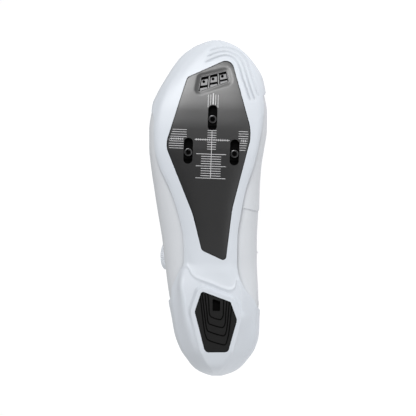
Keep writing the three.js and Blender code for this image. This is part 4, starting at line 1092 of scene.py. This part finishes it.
def collar_roll():
    """A rounded edge over the cut wall of the collar, its centre line, its two ways and its half width."""
    points, normals = on_skin(collar_places(0.0, start_of(0.0)), 1.6)
    rows = collar_rows(400)
    slope = np.interp(points[:, 0], rows[:, 0], np.gradient(rows[:, 1], rows[:, 0]))
    cut_up = unit(np.stack([-slope, 0 * slope, 1 + 0 * slope], 1))
    wide_way = unit(normals - cut_up * np.sum(normals * cut_up, 1, keepdims=True))
    lean = np.clip(np.sum(normals * wide_way, 1), 0.4, 1)
    half = wall_at(points) / lean / 2
    centre = points - wide_way * half[:, None]
    half += 0.25
    ring = circle(1.0, 20)
    rings = (centre[:, None] + wide_way[:, None] * (half[:, None] * ring[:, 0])[..., None]
             + cut_up[:, None] * (ROLL_HIGH * ring[:, 1])[None, :, None])
    return capped_rings("collar_roll", rings), centre, wide_way, cut_up, half


def throat_corners(grow):
    back, near, mid, front = throat_stations()
    return [(back, 1.5 * throat_half(back) + grow), (near, throat_half(near) + grow),
            (mid, throat_half(mid) + grow), (front - 2, throat_half(front) + 0.92 * grow),
            (front + 0.8 * grow, 0.55 * throat_half(front))]


def stay_line(grow):
    """Round the front of the throat, a way off its edge, from one side to the other."""
    line = curve_through(both_sides(throat_corners(grow)), 160)
    return np.stack(skin_over(line[:, 0], line[:, 1]), 1)


def toe_line(shift):
    """Across the top behind the toe, low at the sides."""
    degrees = np.r_[np.linspace(12, 90, 40), np.linspace(90, 12, 40)[1:]]
    side = np.r_[-np.ones(40), np.ones(39)]
    at = 0.765 + shift + 0.06 * np.sin(np.radians(degrees)) ** 2
    return np.stack([at, side, degrees], 1)


def heel_line(shift):
    """On the outer side, from the collar beside the ankle down past the widest place of the heel."""
    t = np.linspace(0, 1, 40)
    at = 0.155 + shift + 0.05 * t ** 1.6
    top = degrees_at(at[0], -1, top_line(x_of(at[0])) - 1)
    return np.stack([at, 0 * t - 1, lerp(float(top), -12.0, t)], 1)


seams = []
for line in (stay_line(12.6), toe_line(0.0), heel_line(0.0)):
    points, normals = on_skin(line, 2.0)
    seams.append(tube("seam", points + normals * 0.12, 0.5, 8))
roll, roll_centre, roll_wide, roll_up, roll_half = collar_roll()
carve(upper, less(*seams) + plus(roll))
soften(upper)


def stitches(name, lines, height=0.06, pitch=2.5, long=1.7, radius=0.24, sides=6):
    """Short threads lying on lines given as points with normals."""
    made_points, faces = [], []
    bow = ((-0.5, -0.3, 0.6), (-0.32, 0.0, 1), (0, 0.08, 1), (0.32, 0.0, 1), (0.5, -0.3, 0.6))
    for points, normals in lines:
        joined = even(np.concatenate([points, normals], 1), pitch)
        spots, ups = joined[:, :3], unit(joined[:, 3:])
        ways = unit(np.gradient(spots, axis=0))
        for spot, up, way in zip(spots[1:-1], ups[1:-1], ways[1:-1]):
            across = unit(np.cross(way, up))
            first = len(made_points)
            for share, lift, size in bow:
                middle = spot + way * share * long + up * (height + lift)
                for a, b in circle(radius * size, sides):
                    made_points.append(middle + across * a + up * b)
            faces += tube_faces(len(bow), sides, first)
            end = first + sides * (len(bow) - 1)
            faces.append(tuple(first + k for k in range(sides)))
            faces.append(tuple(end + k for k in range(sides - 1, -1, -1)))
    return soften(new_object(name, made_points, faces), 50)


thread_lines = [stay_line(10.9), stay_line(14.3), toe_line(-0.006), toe_line(0.006), heel_line(-0.006),
                heel_line(0.006), collar_places(6.0, start_of(6.0) + 0.001, 0.34)]
thread = stitches("seam_threads", [on_skin(line, 1.0) for line in thread_lines])


# Printed scales for setting the cleats, on the plate
TICK, THIN, LINE, BAR = 0.34, 0.38, 0.42, 0.85  # widths
CROSS = 10.9  # the long cross line, ahead of the middle


def scale_lines():
    """Start, end and width of each line, as ways ahead and inward of the cleat's middle."""
    lines = []
    for k in (-4, -3, -2, -1, 1, 2, 3, 4):
        a = CROSS + 1.94 * k
        outer, inner = (-21.0, 22.1) if k > 0 else (-22.9, 23.3)
        lines += [((a, -60), (a, outer), THIN), ((a, inner), (a, 60), THIN), ((a, -3.7), (a, 3.7), THIN)]
    for sign, start in ((-1, 24.0), (1, 24.4)):
        lines.append(((CROSS, sign * start), (CROSS, sign * 60), THIN))
        marks = [sign * (start + 1.87 * k) for k in range(7)]
        lines += [((9.9, mark), (11.9, mark), TICK) for mark in marks]
    lines += [((37.9, b), (48.7, b), THIN) for b in (-4.1, -2.05, 2.05, 4.1)]
    lines.append(((37.9, 0), (49.9, 0), BAR))
    lines.append(((19.0, 0), (-21.2, 0), LINE))
    lines.append(((CROSS, -14.2), (CROSS, 14.8), LINE))
    lines += [((10.0, 1.84 * k), (11.8, 1.84 * k), TICK) for k in range(-7, 8)]
    for k in range(11):
        half = 12.4 if k % 5 == 0 else 8.3
        lines.append(((-1 - 2.0 * k, -half), (-1 - 2.0 * k, half), LINE))
    return lines


def print_scales():
    """Thin raised strips on the plate, clear of its edge and of the slots."""
    edge = outline(PLATE, -1.3)
    points, faces = [], []
    for start, end, width in scale_lines():
        a, b = cleat_point(*start), cleat_point(*end)
        along = np.linspace(a, b, max(2, int(np.hypot(*(b - a)) / 0.4)))
        clear = inside(edge, along[:, 0], along[:, 1]) > 0
        for bolt in BOLTS.values():
            clear &= inside(slot_outline(bolt), along[:, 0], along[:, 1]) < -0.2
        kept = along[clear]
        if len(kept) < 2:
            continue
        stations = np.linspace(kept[0], kept[-1], max(2, int(np.hypot(*(kept[-1] - kept[0])) / 1.6)))
        way = (b - a) / np.hypot(*(b - a))
        across = np.array([-way[1], way[0]]) * width / 2
        first = len(points)
        for spot in stations:
            for side, depth in ((-1, -0.04), (1, -0.04), (1, 0.1), (-1, 0.1)):
                x, y = spot + across * side
                points.append((x, y, float(sole_bottom(x, y)) + PLATE_SUNK + depth))
        faces += [tuple(face[::-1]) for face in tube_faces(len(stations), 4, first)]
        end = len(points) - 4
        faces += [(first, first + 3, first + 2, first + 1), (end, end + 1, end + 2, end + 3)]
    return new_object("cleat_scales", points, faces)


scales = print_scales()


# Materials
def set_inputs(node, values):
    for name, value in values.items():
        node.inputs[name].default_value = value


def material(name, colour, roughness, grain=0.0, scale=900, tint=0.03, metallic=0, sheen=0, specular=0.5):
    """A colour that drifts by its tint, with uneven roughness and, with grain, a fine bump."""
    made = bpy.data.materials.new(name)
    made.use_nodes = True
    tree = made.node_tree
    shader = tree.nodes["Principled BSDF"]
    set_inputs(shader, {"Metallic": metallic, "Sheen Weight": sheen, "Specular IOR Level": specular})
    place = tree.nodes.new("ShaderNodeTexCoord")
    cloud, fine = tree.nodes.new("ShaderNodeTexNoise"), tree.nodes.new("ShaderNodeTexNoise")
    set_inputs(cloud, {"Scale": 38, "Detail": 5})
    set_inputs(fine, {"Scale": scale, "Detail": 3})
    for noise in (cloud, fine):
        tree.links.new(place.outputs["Object"], noise.inputs["Vector"])
    mix = tree.nodes.new("ShaderNodeMix")
    mix.data_type = "RGBA"
    mix.inputs[6].default_value = (*[c * (1 - tint) for c in colour], 1)
    mix.inputs[7].default_value = (*[min(1, c * (1 + tint)) for c in colour], 1)
    tree.links.new(cloud.outputs["Fac"], mix.inputs[0])
    tree.links.new(mix.outputs[2], shader.inputs["Base Color"])
    rough = tree.nodes.new("ShaderNodeMapRange")
    set_inputs(rough, {"To Min": max(0.05, roughness - 0.06), "To Max": min(1, roughness + 0.06)})
    tree.links.new(fine.outputs["Fac"], rough.inputs["Value"])
    tree.links.new(rough.outputs["Result"], shader.inputs["Roughness"])
    if grain:
        bump = tree.nodes.new("ShaderNodeBump")
        set_inputs(bump, {"Strength": grain, "Distance": 0.0002})
        tree.links.new(fine.outputs["Fac"], bump.inputs["Height"])
        tree.links.new(bump.outputs["Normal"], shader.inputs["Normal"])
    return made


shell_white = material("shell_white", (0.49, 0.518, 0.557), 0.45, 0.1, 1400, 0.012)
# Painted shade: a darker copy of the shell for the bottoms of the toe grooves
groove_painted_shade = material("groove_painted_shade", (0.43, 0.455, 0.49), 0.5, 0.1, 1400, 0.012)
upper_white = material("upper_white", (0.505, 0.521, 0.545), 0.55, 0.35, 900, 0.015)
composite = material("composite", (0.006, 0.006, 0.0065), 0.37, 0.1, 1500, 0.1, specular=0.75)
# Painted shade: near black for deep slots, bores, pockets and grooves, where the light doesn't reach
pitch = material("pitch", (0.0008, 0.0008, 0.0008), 0.7, 0.2, 1500, 0.1, specular=0.05)
rubber = material("rubber", (0.0035, 0.0035, 0.0035), 0.75, 0.4, 1200, 0.15, specular=0.24)
vent_grey = material("vent_grey", (0.19, 0.19, 0.195), 0.5, 0.2, 900, 0.06)
black_metal = material("black_metal", (0.11, 0.11, 0.113), 0.3, 0.1, 900, 0.1, metallic=0.9)
lining = material("lining", (0.3, 0.31, 0.33), 0.9, 0.8, 1600, 0.08, sheen=0.3)
dial_white = material("dial_white", (0.64, 0.67, 0.71), 0.35, 0.05, 900, 0.01)
print_white = material("print_white", (0.5, 0.5, 0.51), 0.6, 0, 900, 0.02)
cord_white = material("cord_white", (0.62, 0.63, 0.66), 0.6, 0.6, 1800, 0.06)


def rest_on_floor(obj):
    """Flattens what would lie under the floor, as soft shell and upper do where they touch it."""
    points = np.empty(len(obj.data.vertices) * 3)
    obj.data.vertices.foreach_get("co", points)
    points[2::3] = np.maximum(points[2::3], 0)
    obj.data.vertices.foreach_set("co", points)
    obj.data.update()


for touching in (outsole, upper, thread):
    rest_on_floor(touching)


def dress(obj, made, slot, *replaced):
    obj.data.materials.clear()
    obj.data.materials.append(made)
    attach(obj, "root")
    if replaced:
        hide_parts(*replaced)


dress(outsole, shell_white, "sole_shell", "outsole")
dress(plate, composite, "composite", "sole_plate")
dress(upper, upper_white, "upper_leather", "upper")
dress(pad, rubber, "pad_rubber", "heel_pad")
dress(insole, lining, "lining", "insole")
dress(tongue, upper_white, "upper_leather", "tongue")
dress(vent, vent_grey, "grille", "vent_insert")
dress(base_solid, dial_white, "dial_plastic", "dial_base")
dress(knob, dial_white, "dial_plastic", "dial_knob")
dress(lace, cord_white, "cord", "lace")
dress(scales, print_white, "composite")
dress(thread, cord_white, "upper_leather")
for which, nut in nuts.items():
    dress(nut, black_metal, "nut_metal", f"cleat_nut_{which}")
for i, guide in enumerate(guides):
    dress(guide, dial_white, "guide_plastic", f"lace_guide_{i + 1}")


def standing(obj):
    """Middles and normals of the faces, in the standing shoe."""
    count = len(obj.data.polygons)
    middles, normals = np.empty(count * 3), np.empty(count * 3)
    obj.data.polygons.foreach_get("center", middles)
    obj.data.polygons.foreach_get("normal", normals)
    return (middles.reshape(-1, 3) * 1000 - SHIFT) @ TURN, normals.reshape(-1, 3) @ TURN


def paint(obj, made, chosen):
    """Gives the chosen faces a second material."""
    obj.data.materials.append(made)
    index = np.zeros(len(obj.data.polygons), np.int32)
    obj.data.polygons.foreach_get("material_index", index)
    index[chosen] = len(obj.data.materials) - 1
    obj.data.polygons.foreach_set("material_index", index)


def nearest(places, points):
    """The number of the place that lies nearest to each point."""
    tree = kdtree.KDTree(len(places))
    for i, place in enumerate(places):
        tree.insert(place, i)
    tree.balance()
    return np.array([tree.find(point)[1] for point in points])


def over_last(points):
    """Height over the last's skin, below 0 inside it."""
    flat, ways = LAST_RINGS.reshape(-1, 3), LAST_NORMALS.reshape(-1, 3)
    near = nearest(flat, points)
    return np.sum((points - flat[near]) * ways[near], 1)


# The upper is lined, and so is the roll of its collar
middles, _ = standing(upper)
near = nearest(roll_centre, middles)
away = middles - roll_centre[near]
wide = np.sum(away * roll_wide[near], 1) / roll_half[near]
high = np.sum(away * roll_up[near], 1) / ROLL_HIGH
on_roll = (np.abs(np.hypot(wide, high) - 1) < 0.2) & (high > 0.06)
paint(upper, lining, (over_last(middles) < -1.1) | on_roll)

# Painted shade: the pockets for plate and pad are painted near black inside, so the gaps round them read
# dark, and the grooves at the toe are painted a little darker than the shell
middles, _ = standing(outsole)
x, y, z = middles.T
foot_bed = bed(at_of(x))
in_plate_pocket = (inside(outline(PLATE, GAP + 0.05), x, y) > 0) & (z < foot_bed - 0.5)
in_pad_pocket = (inside(outline(PAD, GAP + 0.05), x, y) > 0) & (z < 6)
# Painted shade: near black in the pockets under plate and pad
paint(outsole, pitch, in_plate_pocket | in_pad_pocket)
# Painted shade: darker grey in the bottoms of the toe grooves
paint(outsole, groove_painted_shade, (z < foot_bed + 4) & (toe_groove(x, y) > 0.35))


def depth_in(obj):
    """How far the faces lie above the sole's underside, with their middles and normals."""
    middles, normals = standing(obj)
    return middles[:, 2] - sole_bottom(middles[:, 0], middles[:, 1]), middles, normals


# Painted shade: slots, vent, pad and nuts are painted black where they lie deep
depth, middles, _ = depth_in(plate)
in_slot = np.zeros(len(middles), bool)
for bolt in BOLTS.values():
    in_slot |= inside(slot_outline(bolt, 0.3), middles[:, 0], middles[:, 1]) > 0
# Painted shade: black on the slot walls and on the plate's hidden back
paint(plate, pitch, (in_slot & (depth > 0.5)) | (depth > PLATE_THICK - 0.2))
depth, _, normals = depth_in(vent)
# Painted shade: black on the deep walls and floors of the vent cells
paint(vent, pitch, (np.abs(normals[:, 2]) < 0.7) & (depth > 1.2) | (depth > 2.4))
_, middles, _ = depth_in(pad)
# Painted shade: black in the pad's grooves and hole
paint(pad, pitch, (middles[:, 2] > PAD_SUNK + 0.15) & (middles[:, 2] < PAD_THICK - 0.1))
for which, nut in nuts.items():
    depth, middles, _ = depth_in(nut)
    from_axis = np.hypot(*(middles[:, :2] - BOLTS[which]).T)
    # Painted shade: black in the nut bores and on the deep flange
    paint(nut, pitch, (depth > 1.7) | (from_axis < 2.0))


# Stage, light and camera
bpy.ops.mesh.primitive_plane_add(size=60, location=(0, 0, 0))
ground = bpy.context.object
ground.name = "ground"
pale = bpy.data.materials.new("pale_ground")
pale.use_nodes = True
set_inputs(pale.node_tree.nodes["Principled BSDF"], {
    "Base Color": (0.25, 0.25, 0.25, 1), "Roughness": 0.9,
    "Emission Color": (1, 1, 1, 1), "Emission Strength": 0.85,
})
ground.data.materials.append(pale)

# The sky is dark on the camera's side and bright behind the shoe
world = bpy.data.worlds.new("studio")
bpy.context.scene.world = world
world.use_nodes = True
sky = world.node_tree
background = sky.nodes["Background"]
background.inputs["Color"].default_value = (1, 1, 1, 1)
direction = sky.nodes.new("ShaderNodeTexCoord")
ways = sky.nodes.new("ShaderNodeSeparateXYZ")
brightness = sky.nodes.new("ShaderNodeMapRange")
set_inputs(brightness, {"From Min": -1.0, "From Max": 1.0, "To Min": 0.07, "To Max": 0.84})
sky.links.new(direction.outputs["Generated"], ways.inputs[0])
sky.links.new(ways.outputs["Y"], brightness.inputs["Value"])
sky.links.new(brightness.outputs["Result"], background.inputs["Strength"])
bpy.context.scene.view_settings.view_transform = "Standard"


def area_light(name, place, target, size, power):
    """A square light that looks at its target."""
    light = bpy.data.lights.new(name, "AREA")
    light.shape, light.size, light.energy = "SQUARE", size, power
    obj = bpy.data.objects.new(name, light)
    bpy.context.scene.collection.objects.link(obj)
    obj.location = place
    obj.rotation_euler = (Vector(target) - Vector(place)).to_track_quat("-Z", "Y").to_euler()


area_light("key", (1.05, -1.25, 0.55), (0.06, -0.04, 0.05), 0.8, 26)
area_light("heel_side", (-1.5, -0.55, 0.6), (-0.1, -0.04, 0.05), 0.6, 8)
area_light("fill", (-0.3, 0.2, 1.8), (0, 0, 0.05), 1.4, 3.2)

# The camera looks straight at the sole, toe up, from far off
DISTANCE, FRAME_WIDTH, SENSOR = 2.6, 0.3474, 36
toe, inward, up = (Vector(TURN[:, k]) for k in range(3))
aim = PLACE @ Vector((139.7, -4.2, 15.0)) / 1000
camera = bpy.data.objects.new("camera", bpy.data.cameras.new("camera"))
bpy.context.scene.collection.objects.link(camera)
bpy.context.scene.camera = camera
turn_to = Matrix((inward, toe, -up)).transposed().to_4x4()
camera.matrix_world = Matrix.Translation(aim - up * DISTANCE) @ turn_to
camera.data.sensor_width = SENSOR
camera.data.lens = SENSOR * DISTANCE / FRAME_WIDTH
camera.data.clip_end = 50
